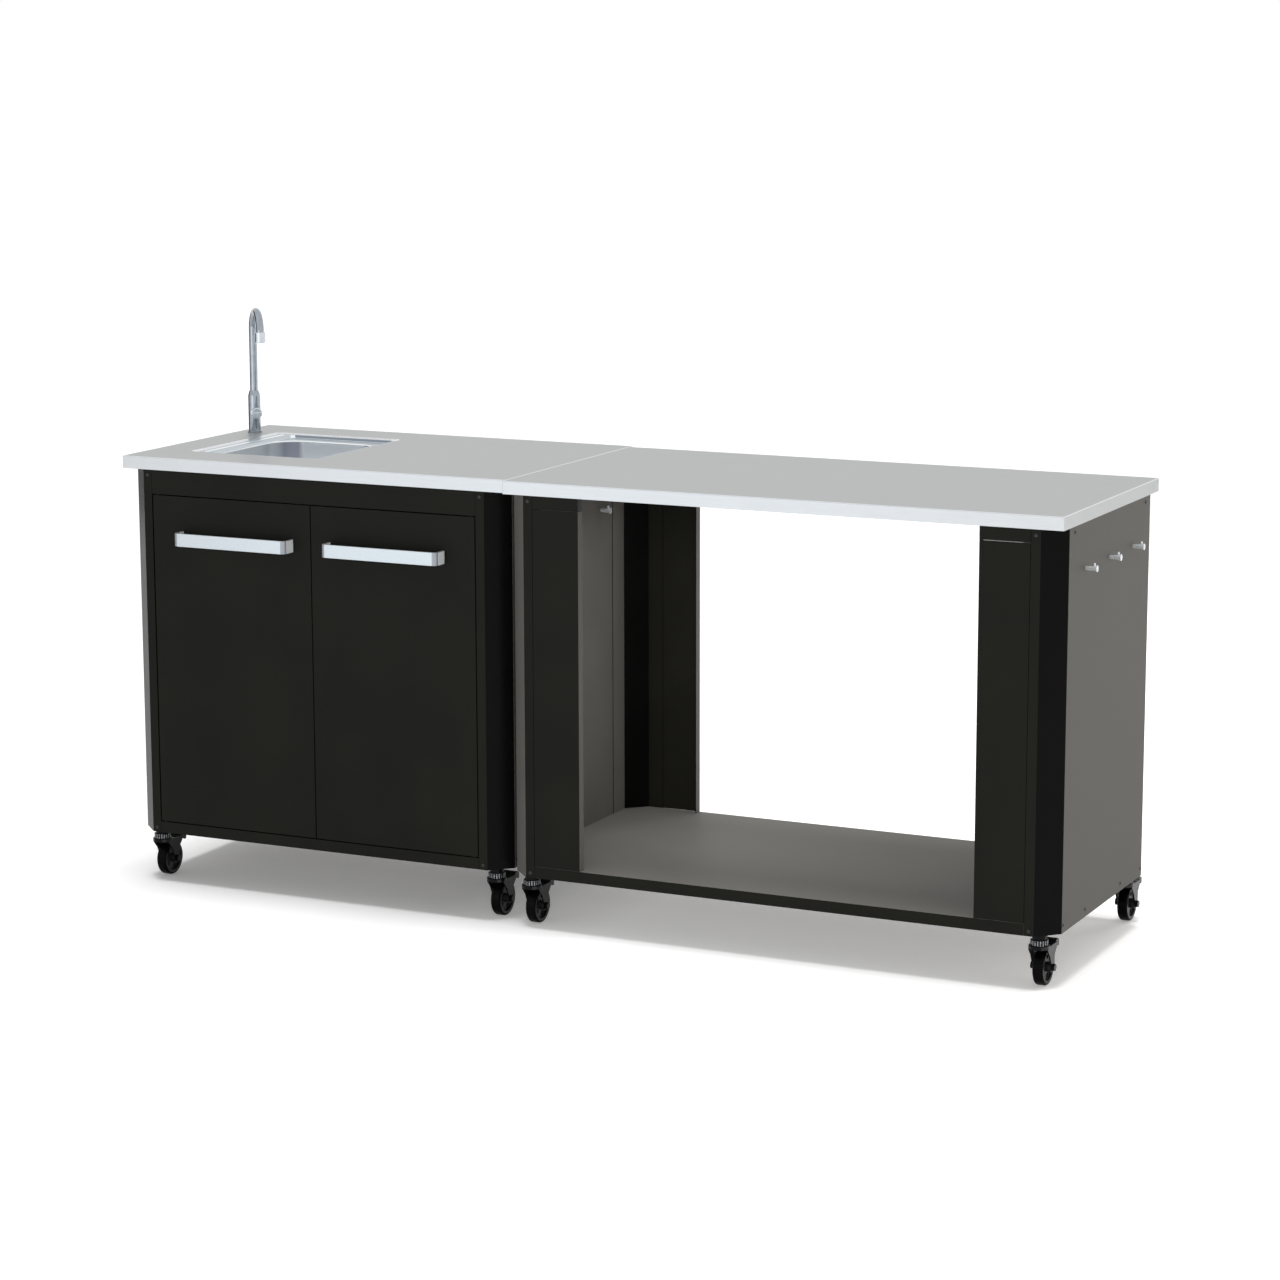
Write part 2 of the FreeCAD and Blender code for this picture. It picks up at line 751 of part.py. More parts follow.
def filler(unit, at_right, at_back, z0, z1, top_flange):
    """A sheet beside the post's strip, with a return at the opening and a lap behind the strip."""
    spans = [((strip_end + seam, 0), (strip_end + filler_width, sheet), z0, z1),
             ((strip_end + filler_width - sheet, 0), (strip_end + filler_width, filler_return), z0, z1),
             ((strip_end - lap, sheet), (strip_end + seam + lap, 2 * sheet), z0, z1)]
    if top_flange:
        spans.append(((strip_end + seam, 0), (strip_end + filler_width, panel_flange), z1 - sheet, z1))
    pieces = []
    for near, far, low, high in spans:
        a, b = unit.corner(at_right, at_back, [near, far])
        pieces.append(box(min(a[0], b[0]), min(a[1], b[1]), low, max(a[0], b[0]), max(a[1], b[1]), high))
    return drilled(fuse(pieces))


bracket_bottom = body_top - bracket_height
add("table_fillers", [filler(table, right, back, rail_top + seam, bracket_bottom - seam, False)
                      for right, back in corners])
add("table_top_brackets", [filler(table, right, back, bracket_bottom, body_top, True)
                           for right, back in corners])


# Cabinet doors, their pins and the rails that hold the pins

door_bottom = rail_top + door_gap
door_top = body_top - top_rail_height - door_gap
doors_left = cabinet.x0 + strip_end + door_gap
doors_right = cabinet.x1 - strip_end - door_gap
door_width = (doors_right - doors_left - door_gap) / 2
front_y = cabinet.y0
pivot_y = front_y + pivot_depth
pivot_xs = (doors_left + pivot_from_edge, doors_right - pivot_from_edge)
door_lefts = (doors_left, doors_right - door_width)
handle_lefts = (doors_left + door_width - handle_from_inner_edge - handle_length,
                doors_right - door_width + handle_from_inner_edge)
handle_top = door_top - handle_below_door_top
handle_middle_z = handle_top - handle_height / 2


def rail(z0, z1, depth, low_flange_start, pin_z):
    """A channel between the front strips, open to the back, with a hole for each hinge pin at pin_z."""
    left = cabinet.x0 + strip_end + seam
    right = cabinet.x1 - strip_end - seam
    low_left = cabinet.x0 + low_flange_start
    low_right = cabinet.x1 - low_flange_start
    pieces = [box(left, front_y, z0, right, front_y + sheet, z1),
              box(left, front_y, z1 - sheet, right, front_y + depth, z1),
              box(low_left, front_y, z0, low_right, front_y + depth, z0 + sheet)]
    pieces += lap_pair(cabinet, False, z0, z1)
    holes = [cylinder(hinge_pin_radius + fixed_fit, 2 * overrun, V(x, pivot_y, pin_z - overrun))
             for x in pivot_xs]
    return drilled(cut(fuse(pieces), holes))


top_rail_bottom = body_top - top_rail_height
add("cabinet_top_rail", [rail(top_rail_bottom, body_top, top_rail_flange, strip_end + seam, top_rail_bottom)])
add("cabinet_bottom_rail", [rail(body_bottom, rail_top, bottom_rail_flange, plate_reach + assembly_gap,
                                 rail_top)])


def hinge_pin(x, seat_z, up):
    """A pin through the rail's flange. The door rests on the lower pin's collar and clears the upper one's."""
    collar = door_gap if up else door_gap - running_gap
    sign = 1 if up else -1
    profile = [(0, -sheet), (hinge_pin_radius, -sheet), (hinge_pin_radius, 0), (hinge_collar_radius, 0),
               (hinge_collar_radius, collar), (hinge_pin_radius, collar),
               (hinge_pin_radius, door_gap + hinge_pin_reach), (0, door_gap + hinge_pin_reach)]
    return revolve(profile, V(x, pivot_y, seat_z), Z * sign)


add("hinge_pins", [hinge_pin(x, rail_top, True) for x in pivot_xs]
    + [hinge_pin(x, top_rail_bottom, False) for x in pivot_xs])


def door(left, handle_left):
    """A folded pan with a bore for each pin and the handle's screw holes."""
    right = left + door_width
    outer = box(left, front_y, door_bottom, right, front_y + door_depth, door_top)
    inner = box(left + sheet, front_y + sheet, door_bottom + sheet,
                right - sheet, front_y + door_depth + overrun, door_top - sheet)
    bores = [cylinder(hinge_pin_radius + running_fit, unit_height, V(x, pivot_y, 0)) for x in pivot_xs]
    starts = [V(x, front_y - overrun, handle_middle_z) for x in handle_screw_xs(handle_left)]
    screw_holes = [cylinder(handle_screw_radius + fixed_fit, 2 * overrun, start, Y) for start in starts]
    return cut(outer, [inner] + bores + screw_holes)


def handle_screw_xs(left):
    return (left + handle_thick / 2, left + handle_length - handle_thick / 2)


def handle(left):
    """A flat strap bent back to the door at both ends, with a screw into each foot."""
    right = left + handle_length
    bottom = handle_top - handle_height
    face = front_y - handle_reach

    def upright(edge):
        return edge.BoundBox.ZLength > handle_height / 2 and edge.BoundBox.YMax < front_y - handle_thick

    def level(edge):
        return edge.BoundBox.ZLength < handle_thick and edge.BoundBox.YMin < front_y - handle_thick

    outer = box(left, face, bottom, right, front_y, handle_top)
    outer = round_edges(outer, handle_corner, upright)
    inner = box(left + handle_thick, face + handle_thick, bottom, right - handle_thick, front_y, handle_top)
    inner = round_edges(inner, handle_corner - handle_thick, upright)
    strap = round_edges(outer.cut(inner), handle_edge_round, level)
    screws = []
    holes = []
    for x in handle_screw_xs(left):
        start = V(x, front_y + sheet + handle_screw_head_height, handle_middle_z)
        profile = [(0, 0), (handle_screw_head_radius, 0),
                   (handle_screw_head_radius, handle_screw_head_height),
                   (handle_screw_radius, handle_screw_head_height),
                   (handle_screw_radius, handle_screw_length), (0, handle_screw_length)]
        screws.append(revolve(profile, start, -Y))
        holes.append(cylinder(handle_screw_radius + fixed_fit, handle_screw_length, start, -Y))
    return [cut(strap, holes)] + screws


for side, door_left, handle_left in (("left", door_lefts[0], handle_lefts[0]),
                                     ("right", door_lefts[1], handle_lefts[1])):
    add("door_" + side, [door(door_left, handle_left)])
    add("handle_" + side, handle(handle_left))


# Magnetic catches under the top rail, just behind the doors' free edges

def magnet(sign):
    near = cabinet.middle_x + sign * magnet_from_middle
    far = near + sign * magnet_width
    start = front_y + door_depth + running_gap
    return box(min(near, far), start, top_rail_bottom - magnet_height,
               max(near, far), start + magnet_depth, top_rail_bottom)


add("door_magnets", [magnet(-1), magnet(1)])


# Back panel of the cabinet

def back_panel():
    left = cabinet.x0 + strip_end + seam
    right = cabinet.x1 - strip_end - seam
    pieces = [box(left, cabinet.y1 - sheet, body_bottom, right, cabinet.y1, body_top),
              box(left, cabinet.y1 - panel_flange, body_top - sheet, right, cabinet.y1, body_top)]
    pieces += lap_pair(cabinet, True, body_bottom, body_top)
    return drilled(fuse(pieces))


add("cabinet_back_panel", [back_panel()])


# Worktops: a folded tray each, with a lip turned in under its edge

def worktop(unit):
    top = unit_height
    outer = box(unit.left, unit.front, body_top, unit.right, unit.back, top)
    outer = round_edges(outer, edge_round, lambda edge: edge.BoundBox.ZMax > top - seam)
    inner = box(unit.left + sheet, unit.front + sheet, body_top + sheet,
                unit.right - sheet, unit.back - sheet, top - sheet)
    mouth = box(unit.left + lip_width, unit.front + lip_width, body_top - overrun,
                unit.right - lip_width, unit.back - lip_width, body_top + overrun)
    return cut(outer, [inner, mouth])


recess_x0 = cabinet.left + recess_from_side
recess_x1 = recess_x0 + recess_width
recess_y0 = cabinet.front + recess_from_front
recess_y1 = recess_y0 + recess_length
ledge = unit_height - ledge_depth
recess_floor = ledge - pocket_depth
basin_x0 = recess_x0 + basin_from_recess_side
basin_x1 = basin_x0 + basin_width
basin_y0 = recess_y0 + basin_from_recess_front
basin_y1 = basin_y0 + basin_length
basin_top = recess_floor - sheet
basin_floor = recess_floor - basin_depth
drain_x = (basin_x0 + basin_x1) / 2
drain_y = (basin_y0 + basin_y1) / 2
tap_x = cabinet.left + tap_from_side
tap_y = cabinet.front + tap_from_front


def recess_wire(inset, z):
    """The recess's outline, drawn in by an inset."""
    return rounded_rectangle(recess_x0 + inset, recess_y0 + inset, recess_x1 - inset, recess_y1 - inset,
                             recess_corner, z)


def pocket_wire(inset, z):
    """The outline of the deeper part beside the ledge, drawn in by an inset."""
    return rounded_rectangle(recess_x0 + ledge_width + inset, recess_y0 + pocket_margin + inset,
                             recess_x1 - pocket_margin - inset, recess_y1 - pocket_margin - inset,
                             recess_corner, z)


def basin_prism(grow, z0, z1):
    wire = rounded_rectangle(basin_x0 - grow, basin_y0 - grow, basin_x1 + grow, basin_y1 + grow,
                             basin_corner + grow, z0)
    return Part.Face(wire).extrude(V(0, 0, z1 - z0))


def loft(low, high):
    return Part.makeLoft([low, high], True, True)


def cabinet_worktop():
    """The tray with a pressed recess: a sloped rim, a ledge on the left and a level pocket for the basin."""
    hollows = [loft(recess_wire(0, unit_height), recess_wire(ledge_slope, ledge)),
               loft(pocket_wire(0, ledge), pocket_wire(pocket_slope, recess_floor))]
    shells = [loft(recess_wire(-sheet, unit_height - sheet), recess_wire(ledge_slope - sheet, ledge - sheet)),
              loft(pocket_wire(-sheet, ledge), pocket_wire(pocket_slope - sheet, recess_floor - sheet))]
    tools = hollows + [basin_prism(0, basin_top - overrun, recess_floor + overrun),
                       cylinder(tap_hole_radius, 2 * overrun, V(tap_x, tap_y, unit_height - overrun))]
    skin = cut(fuse([worktop(cabinet)] + shells), tools)

    def mouth(edge):
        limits_of_edge = edge.BoundBox
        level = abs(limits_of_edge.ZMax - recess_floor) < seam and limits_of_edge.ZLength < seam
        inside = limits_of_edge.XMin > basin_x0 - seam and limits_of_edge.XMax < basin_x1 + seam
        return level and inside

    return round_edges(skin, basin_mouth_round, mouth)


def sink_basin():
    """A pressed bowl with upright sides, a rounded floor edge and a flange under the recess's floor."""
    outer = basin_prism(sheet, basin_floor - sheet, basin_top)
    outer = round_edges(outer, basin_bottom_round + sheet, lambda edge: edge.BoundBox.ZMax < basin_floor)
    flange = basin_prism(basin_flange, basin_top - sheet, basin_top)
    inner = basin_prism(0, basin_floor, basin_top + overrun)
    inner = round_edges(inner, basin_bottom_round, lambda edge: edge.BoundBox.ZMax < basin_floor + seam)
    hole = cylinder(drain_hole_radius, 2 * overrun, V(drain_x, drain_y, basin_floor - overrun))
    return cut(fuse([outer, flange]), [inner, hole])


add("table_worktop", [worktop(table)])
add("sink_worktop", [cabinet_worktop()])
add("sink_basin", [sink_basin()])


def stiffener(unit, share):
    """A channel across the tray, between the skin and the lips."""
    middle = unit.left + share * (unit.right - unit.left)
    low = body_top + sheet
    high = unit_height - sheet
    start = unit.front + sheet
    stop = unit.back - sheet
    outer = box(middle - stiffener_width / 2, start, low, middle + stiffener_width / 2, stop, high)
    inner = box(middle - stiffener_width / 2 + sheet, start, low,
                middle + stiffener_width / 2 - sheet, stop, high - sheet)
    return outer.cut(inner)


add("worktop_stiffeners", [stiffener(cabinet, share) for share in cabinet_stiffener_shares]
    + [stiffener(table, share) for share in table_stiffener_shares])


# Drain: a strainer flange in the bowl and the tailpiece screwed on below it

def drain_flange():
    top = basin_floor + drain_disc_thick
    low = basin_floor - drain_sleeve_length
    bore = drain_sleeve_radius - drain_sleeve_wall
    web = top - strainer_depth
    profile = [(bore, top), (drain_disc_radius, top), (drain_disc_radius, basin_floor),
               (drain_sleeve_radius, basin_floor), (drain_sleeve_radius, low), (bore, low),
               (bore, web - strainer_thick), (0, web - strainer_thick), (0, web), (bore, web)]
    solid = revolve(profile, V(drain_x, drain_y, 0))
    centre = V(drain_x, drain_y, web - strainer_depth)
    holes = [cylinder(strainer_hole_radius, strainer_depth + overrun, centre)]
    for k in range(strainer_ring_count):
        angle = math.radians(360.0 * k / strainer_ring_count)
        reach = V(strainer_ring_radius * math.cos(angle), strainer_ring_radius * math.sin(angle), 0)
        holes.append(cylinder(strainer_hole_radius, strainer_depth + overrun, centre + reach))
    return cut(solid, holes)


tail_top = basin_floor - sheet
tail_bottom = tail_top - tail_length


def drain_tailpiece():
    step = tail_top - drain_sleeve_length + sheet - assembly_gap
    grip = drain_sleeve_radius + fixed_fit
    collar_bottom = tail_top - tail_collar_height
    profile = [(grip, tail_top), (tail_collar_radius, tail_top), (tail_collar_radius, collar_bottom),
               (grip + tail_wall, collar_bottom), (grip + tail_wall, step - tail_wall),
               (tail_radius, step - tail_wall), (tail_radius, tail_bottom),
               (tail_radius - tail_wall, tail_bottom), (tail_radius - tail_wall, step), (grip, step)]
    return revolve(profile, V(drain_x, drain_y, 0))


add("drain_flange", [drain_flange()])
add("drain_tailpiece", [drain_tailpiece()])


# Tap: body with its shank through the worktop, swivelling spout, aerator and a knob on a stub

tap_way = V(math.cos(math.radians(tap_turn_deg)), math.sin(math.radians(tap_turn_deg)), 0)
tap_base = V(tap_x, tap_y, unit_height)
cone_top = tap_body_height + tap_cone_height
bend_start = spout_top - spout_radius - spout_bend_radius
outlet = tap_base + tap_way * 2 * spout_bend_radius


def tap_body():
    socket_floor = cone_top - spout_socket_depth
    socket = spout_radius + running_fit
    tail_end = -tap_shank_length - tap_tail_length
    profile = [(tap_water_radius, tail_end), (tap_tail_radius, tail_end),
               (tap_tail_radius, -tap_shank_length), (tap_shank_radius, -tap_shank_length),
               (tap_shank_radius, 0), (tap_flange_radius, 0), (tap_flange_radius, tap_flange_height),
               (tap_body_radius, tap_flange_height), (tap_body_radius, tap_body_height),
               (tap_neck_radius, cone_top), (socket, cone_top), (socket, socket_floor),
               (tap_water_radius, socket_floor)]
    turned = revolve(profile, tap_base)
    middle = tap_base + V(0, 0, knob_height)
    core_start = middle + tap_way * tap_body_radius / 2
    boss = cylinder(knob_boss_radius, knob_boss_reach - tap_body_radius / 2, core_start, tap_way)
    boss_end = middle + tap_way * knob_boss_reach
    pin = cylinder(knob_pin_radius, knob_pin_length + running_gap, boss_end, tap_way)
    return fuse([turned, boss, pin])


def spout_path():
    rise = tap_base + V(0, 0, cone_top - spout_socket_depth + running_gap)
    bend = tap_base + V(0, 0, bend_start)
    crest = tap_base + tap_way * spout_bend_radius + V(0, 0, bend_start + spout_bend_radius)
    fall = outlet + V(0, 0, bend_start)
    tip = fall - V(0, 0, spout_tip)
    path = Part.Wire([Part.LineSegment(rise, bend).toShape(), Part.Arc(bend, crest, fall).toShape(),
                      Part.LineSegment(fall, tip).toShape()])
    return path, rise


def tap_spout():
    path, start = spout_path()
    outer = Part.Wire([Part.makeCircle(spout_radius, start, Z)])
    inner = Part.Wire([Part.makeCircle(spout_radius - spout_wall, start, Z)])
    return path.makePipeShell([outer], True, False).cut(path.makePipeShell([inner], True, False))


def tap_aerator():
    top = bend_start
    low = top - aerator_height
    seat = top - spout_tip
    grip = spout_radius + fixed_fit
    mesh_top = low + 2 * aerator_wall
    bore = spout_radius - spout_wall
    profile = [(grip, top), (aerator_radius - aerator_round, top), (aerator_radius, top - aerator_round),
               (aerator_radius, low + aerator_round), (aerator_radius - aerator_round, low), (bore, low),
               (bore, low + aerator_wall), (0, low + aerator_wall), (0, mesh_top), (bore, mesh_top),
               (bore, seat), (grip, seat)]
    return revolve(profile, outlet)


def tap_knob():
    start = tap_base + V(0, 0, knob_height) + tap_way * (knob_boss_reach + running_gap)
    bore = knob_pin_radius + running_fit
    bore_end = knob_pin_length + running_gap
    profile = [(bore, 0), (knob_radius - knob_round, 0), (knob_radius, knob_round),
               (knob_radius, knob_thick - knob_round), (knob_radius - knob_round, knob_thick),
               (0, knob_thick), (0, bore_end), (bore, bore_end)]
    knob = revolve(profile, start, tap_way)
    bar = box(-knob_bar_length / 2, -knob_bar_width / 2, -knob_round,
              knob_bar_length / 2, knob_bar_width / 2, knob_bar_height)
    bar = round_edges(bar, knob_round / 2, lambda edge: edge.BoundBox.ZMin > 0)
    bar.rotate(V(0, 0, 0), Z, knob_bar_turn_deg)
    face = FreeCAD.Placement(start + tap_way * knob_thick, FreeCAD.Rotation(Z, tap_way))
    bar.Placement = face.multiply(bar.Placement)
    return fuse([knob, bar])


def tap_nut():
    top = unit_height - sheet
    bore = tap_shank_radius + fixed_fit
    washer = revolve([(bore, top - washer_thick), (washer_radius, top - washer_thick), (washer_radius, top),
                      (bore, top)], V(tap_x, tap_y, 0))
    nut_top = top - washer_thick
    nut_bottom = nut_top - nut_thick
    nut = hexagon(nut_radius, nut_bottom, nut_top, tap_x, tap_y)
    hole = cylinder(bore, nut_thick + 2 * overrun, V(tap_x, tap_y, nut_bottom - overrun))
    return [washer, cut(nut, [hole])]


add("tap_body", [tap_body()])
add("tap_spout", [tap_spout()])
add("tap_aerator", [tap_aerator()])
add("tap_knob", [tap_knob()])
add("tap_nut", tap_nut())

# Screws of all panels, and the nuts behind the hooks
add("panel_screws", [screw(place, inwards) for place, inwards in screw_sites] + outer_nuts + inner_nuts)


# One shift puts the origin on the floor under the middle of everything

def limits(shapes):
    boxes = [shape.optimalBoundingBox(False, False) for shape in shapes]
    low = V(min(b.XMin for b in boxes), min(b.YMin for b in boxes), min(b.ZMin for b in boxes))
    high = V(max(b.XMax for b in boxes), max(b.YMax for b in boxes), max(b.ZMax for b in boxes))
    return low, high


low_corner, high_corner = limits(nodes.values())
shift = V(-(low_corner.x + high_corner.x) / 2, -(low_corner.y + high_corner.y) / 2, -low_corner.z)

os.makedirs("parts", exist_ok=True)
for name, shape in nodes.items():
    shape.translate(shift)
    shape.exportStep("parts/%s.step" % name)
print("nodes", len(nodes), "size", high_corner - low_corner, "shift", shift)
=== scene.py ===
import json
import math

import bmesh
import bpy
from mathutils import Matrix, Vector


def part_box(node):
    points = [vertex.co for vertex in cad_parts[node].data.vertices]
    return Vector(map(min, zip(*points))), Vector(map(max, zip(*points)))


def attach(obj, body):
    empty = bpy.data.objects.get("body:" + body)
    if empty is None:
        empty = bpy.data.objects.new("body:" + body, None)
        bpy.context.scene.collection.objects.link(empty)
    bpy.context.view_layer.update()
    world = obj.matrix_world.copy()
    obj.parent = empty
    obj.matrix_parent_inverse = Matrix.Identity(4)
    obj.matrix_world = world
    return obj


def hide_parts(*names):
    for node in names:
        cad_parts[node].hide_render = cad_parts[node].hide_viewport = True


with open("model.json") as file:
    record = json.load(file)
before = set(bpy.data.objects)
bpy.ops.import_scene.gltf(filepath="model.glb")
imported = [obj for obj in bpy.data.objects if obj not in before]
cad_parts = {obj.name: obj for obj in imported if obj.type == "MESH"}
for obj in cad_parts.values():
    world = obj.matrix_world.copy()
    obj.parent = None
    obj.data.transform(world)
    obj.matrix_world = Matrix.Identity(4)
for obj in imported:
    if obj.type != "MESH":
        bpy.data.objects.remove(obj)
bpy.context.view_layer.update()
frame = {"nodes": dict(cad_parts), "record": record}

# %% [markdown]
# # An outdoor kitchen in two units
# A sink cabinet and an open table stand side by side on casters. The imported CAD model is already
# in the scene: every sheet, screw and wheel is there at its real size, in metres. This lesson gives
# each of them a real finish, rebuilds the pieces whose edges and small forms show, and lights the
# whole like a catalogue picture. Places come from the boxes of the CAD nodes and from the joints,
# so the lesson follows the CAD model when a size there changes.

MM = 0.001
nodes = frame["nodes"]
casters = range(1, 9)
body_of_node = {node: body for body, members in frame["record"]["behaviour"]["bodies"].items()
                for node in members}

# %% [markdown]
# ## Colours and nodes
# Colours are easiest to read as sRGB hex, the way a paint card gives them, but Blender's shaders work
# with linear light. One function turns one into the other. Every material is a small graph, and a
# single helper adds a node, sets its inputs and wires it, so that each graph reads as a short list.

# %% Colour and node helpers
def linear(hex_code):
    """Turn an sRGB hex colour into linear light, with an alpha of 1."""
    values = []
    for start in (1, 3, 5):
        c = int(hex_code[start:start + 2], 16) / 255
        values.append(c / 12.92 if c <= 0.04045 else ((c + 0.055) / 1.055) ** 2.4)
    return (*values, 1.0)


def add_node(tree, kind, settings=None, **inputs):
    """Add a node. An input is a value, or another node's output to be linked."""
    node = tree.nodes.new(kind)
    for key, value in (settings or {}).items():
        setattr(node, key, value)
    for key, value in inputs.items():
        socket = node.inputs[int(key[1:])] if key[1:].isdigit() else node.inputs[key.replace("_", " ")]
        if isinstance(value, bpy.types.NodeSocket):
            tree.links.new(value, socket)
        else:
            socket.default_value = value
    return node


def new_material(name):
    """An empty material with its output node and the piece's own coordinates."""
    material = bpy.data.materials.new(name)
    material.use_nodes = True
    tree = material.node_tree
    tree.nodes.clear()
    output = tree.nodes.new("ShaderNodeOutputMaterial")
    place = tree.nodes.new("ShaderNodeTexCoord").outputs["Object"]
    return material, tree, output, place


print("mid grey in linear light", round(linear("#808080")[0], 3))

# %% [markdown]
# ## Patterns
# No real surface is even. A noise whose grains have a real size in millimetres drives the small
# changes of colour, gloss and height of every finish here. The noise clusters round its middle, so
# only the part from 0.3 to 0.7 is spread over the range of a finish.

# %% Pattern helpers
NOISE_LOW = 0.3
NOISE_HIGH = 0.7
EVEN = (1, 1, 1)


def noise(tree, place, grain_mm, stretch=EVEN, detail=2.0):
    """Noise whose grains are about grain_mm across, longer along an axis whose stretch is small."""
    scaled = add_node(tree, "ShaderNodeMapping", _0=place, Scale=stretch)
    return add_node(tree, "ShaderNodeTexNoise", Vector=scaled.outputs[0],
                    Scale=1 / (grain_mm * MM), Detail=detail).outputs["Fac"]


def spread(tree, value, low, high):
    """Map the middle of a noise to the range low to high."""
    return add_node(tree, "ShaderNodeMapRange", Value=value, From_Min=NOISE_LOW, From_Max=NOISE_HIGH,
                    To_Min=low, To_Max=high).outputs[0]


def tint(tree, value, low_hex, high_hex):
    """Mix two colours by the middle of a noise."""
    ramp = add_node(tree, "ShaderNodeValToRGB", Fac=value)
    stops = ramp.color_ramp.elements
    stops[0].color, stops[0].position = linear(low_hex), NOISE_LOW
    stops[1].color, stops[1].position = linear(high_hex), NOISE_HIGH
    return ramp.outputs[0]


def bump(tree, height, depth_mm):
    """Small waves of the given depth, as the surface's normal."""
    return add_node(tree, "ShaderNodeBump", Height=height, Strength=1.0,
                    Distance=depth_mm * MM).outputs[0]


def surface(tree, output, **inputs):
    """The shader itself, wired to the output."""
    shader = add_node(tree, "ShaderNodeBsdfPrincipled", **inputs)
    tree.links.new(shader.outputs[0], output.inputs[0])


print("pattern helpers ready")

# %% [markdown]
# ## Stainless sheet
# The worktops are brushed stainless sheet. A brush leaves thousands of fine scratches along the sheet,
# so the gloss is drawn out across them. Real scratches are about 0.05 mm wide, too fine for a picture
# of a two-metre object, so they are drawn 0.6 mm wide and 120 times as long. Broad clouds change the
# gloss a little, as hands and cloths do. Where the sheet is pressed down round the bowl the brush
# marks are rubbed off. There the recess's wall that faces the front is painted darker than the
# worktop, a painted reflection, its side walls paler as painted light, and its floor paler.

# %% Brushed and pressed sheet
SCRATCH_MM = 0.6
CLOUD_MM = 90
CLOUD_SHARE = 0.35
SCRATCH_DEPTH_MM = 0.012


def brushed_steel(name, low_hex, high_hex, edge_hex, rough_low, rough_high, stretch):
    """Steel with scratches. The edge colour is what it shows at a grazing angle."""
    material, tree, output, place = new_material(name)
    scratches = noise(tree, place, SCRATCH_MM, stretch, 3.0)
    clouds = noise(tree, place, CLOUD_MM)
    uneven = add_node(tree, "ShaderNodeMath", {"operation": "MULTIPLY_ADD"},
                      _0=clouds, _1=CLOUD_SHARE, _2=scratches).outputs[0]
    surface(tree, output, Base_Color=tint(tree, scratches, low_hex, high_hex), Metallic=1.0,
            Specular_Tint=linear(edge_hex), Roughness=spread(tree, uneven, rough_low, rough_high),
            Normal=bump(tree, scratches, SCRATCH_DEPTH_MM))
    return material


# Brushed along the length of the worktop: a calm, silky grey without a clear reflection.
worktop_steel = brushed_steel("brushed_stainless_sheet", "#c8cacb", "#d0d2d3", "#d2d2d0",
                              0.34, 0.44, (0.008, 1, 1))
# The recess's wall that faces the front. It has no brush marks, and its cold blue grey is a painted
# reflection of a dark room.
wall_steel_painted_reflection = brushed_steel("pressed_wall_painted_reflection", "#7e8792", "#89929d", "#98a1ac",
                           0.25, 0.35, EVEN)
# Pressed flat against the tool: smoother and paler than the brushed sheet round it. The recess's side
# walls take it too, as painted light beside the front wall's painted reflection.
recess_steel = brushed_steel("pressed_stainless_recess", "#c9cfd4", "#d3d9dd", "#dadfe3",
                             0.3, 0.4, (0.02, 1, 1))
print("sheet steels", worktop_steel.name, wall_steel_painted_reflection.name, recess_steel.name)

# %% [markdown]
# ## The pressed bowl
# A bowl is drawn deep by a press and then polished. Its colour follows the way a wall faces, the
# normal's X: where the wall turns it is painted darker, a painted reflection, and the other walls
# paler, as painted light. Upright marks of the press, 5 mm apart, make it a little uneven.

# %% Bowl
MARK_MM = 5
MARK_STRETCH = (1, 1, 0.05)
MARK_SHARE = 0.015
MARK_DEPTH_MM = 0.001
BOWL_METALLIC = 0.55
BOWL_ROUGH = (0.29, 0.33)
# Colours by the normal's X: a painted reflection, darkest where the wall turns, paler elsewhere as
# painted light.
OTHER_WALLS = (0.12, "#e6eaec")
TURNING_WALL_PAINTED_REFLECTION = ((0.3, "#9c9eaa"), (0.75, "#8f919d"))
LEFT_WALL = (1.0, "#c2c6c9")


def bowl_with_painted_reflection(name):
    """Polished steel with a painted reflection: its colour changes with the way a wall faces."""
    material, tree, output, place = new_material(name)
    marks = noise(tree, place, MARK_MM, MARK_STRETCH)
    facing = add_node(tree, "ShaderNodeSeparateXYZ",
                      _0=add_node(tree, "ShaderNodeTexCoord").outputs["Normal"]).outputs["X"]
    wavy = add_node(tree, "ShaderNodeMath", {"operation": "MULTIPLY_ADD"},
                    _0=marks, _1=MARK_SHARE, _2=facing)
    ramp = add_node(tree, "ShaderNodeValToRGB", Fac=wavy.outputs[0])
    stops = ramp.color_ramp.elements
    for stop, (position, hex_code) in zip(stops, (OTHER_WALLS, LEFT_WALL)):
        stop.position, stop.color = position, linear(hex_code)
    for position, hex_code in TURNING_WALL_PAINTED_REFLECTION:
        stops.new(position).color = linear(hex_code)
    surface(tree, output, Base_Color=ramp.outputs[0], Metallic=BOWL_METALLIC,
            Roughness=spread(tree, marks, *BOWL_ROUGH), Normal=bump(tree, marks, MARK_DEPTH_MM))
    return material


basin_steel = bowl_with_painted_reflection("stainless_bowl_painted_reflection")
print("bowl", basin_steel.name)

# %% [markdown]
# ## Other metals
# The tap, the handles, the hooks and the fasteners are metals with an even grain. They differ in
# colour, in how rough they are and in the size and depth of their grain. A metal keeps Blender's
# default index of refraction, because its gloss comes from its colour alone. Where a skin of oxide
# lies on the metal, it is only partly metallic.

# %% Metals with an even grain
def plain_metal(name, low_hex, high_hex, rough_low, rough_high, grain_mm, depth_mm, metallic=1.0):
    """A metal whose colour, gloss and height follow one even grain."""
    material, tree, output, place = new_material(name)
    grain = noise(tree, place, grain_mm, EVEN, 3.0)
    surface(tree, output, Base_Color=tint(tree, grain, low_hex, high_hex), Metallic=metallic,
            Roughness=spread(tree, grain, rough_low, rough_high), Normal=bump(tree, grain, depth_mm))
    return material


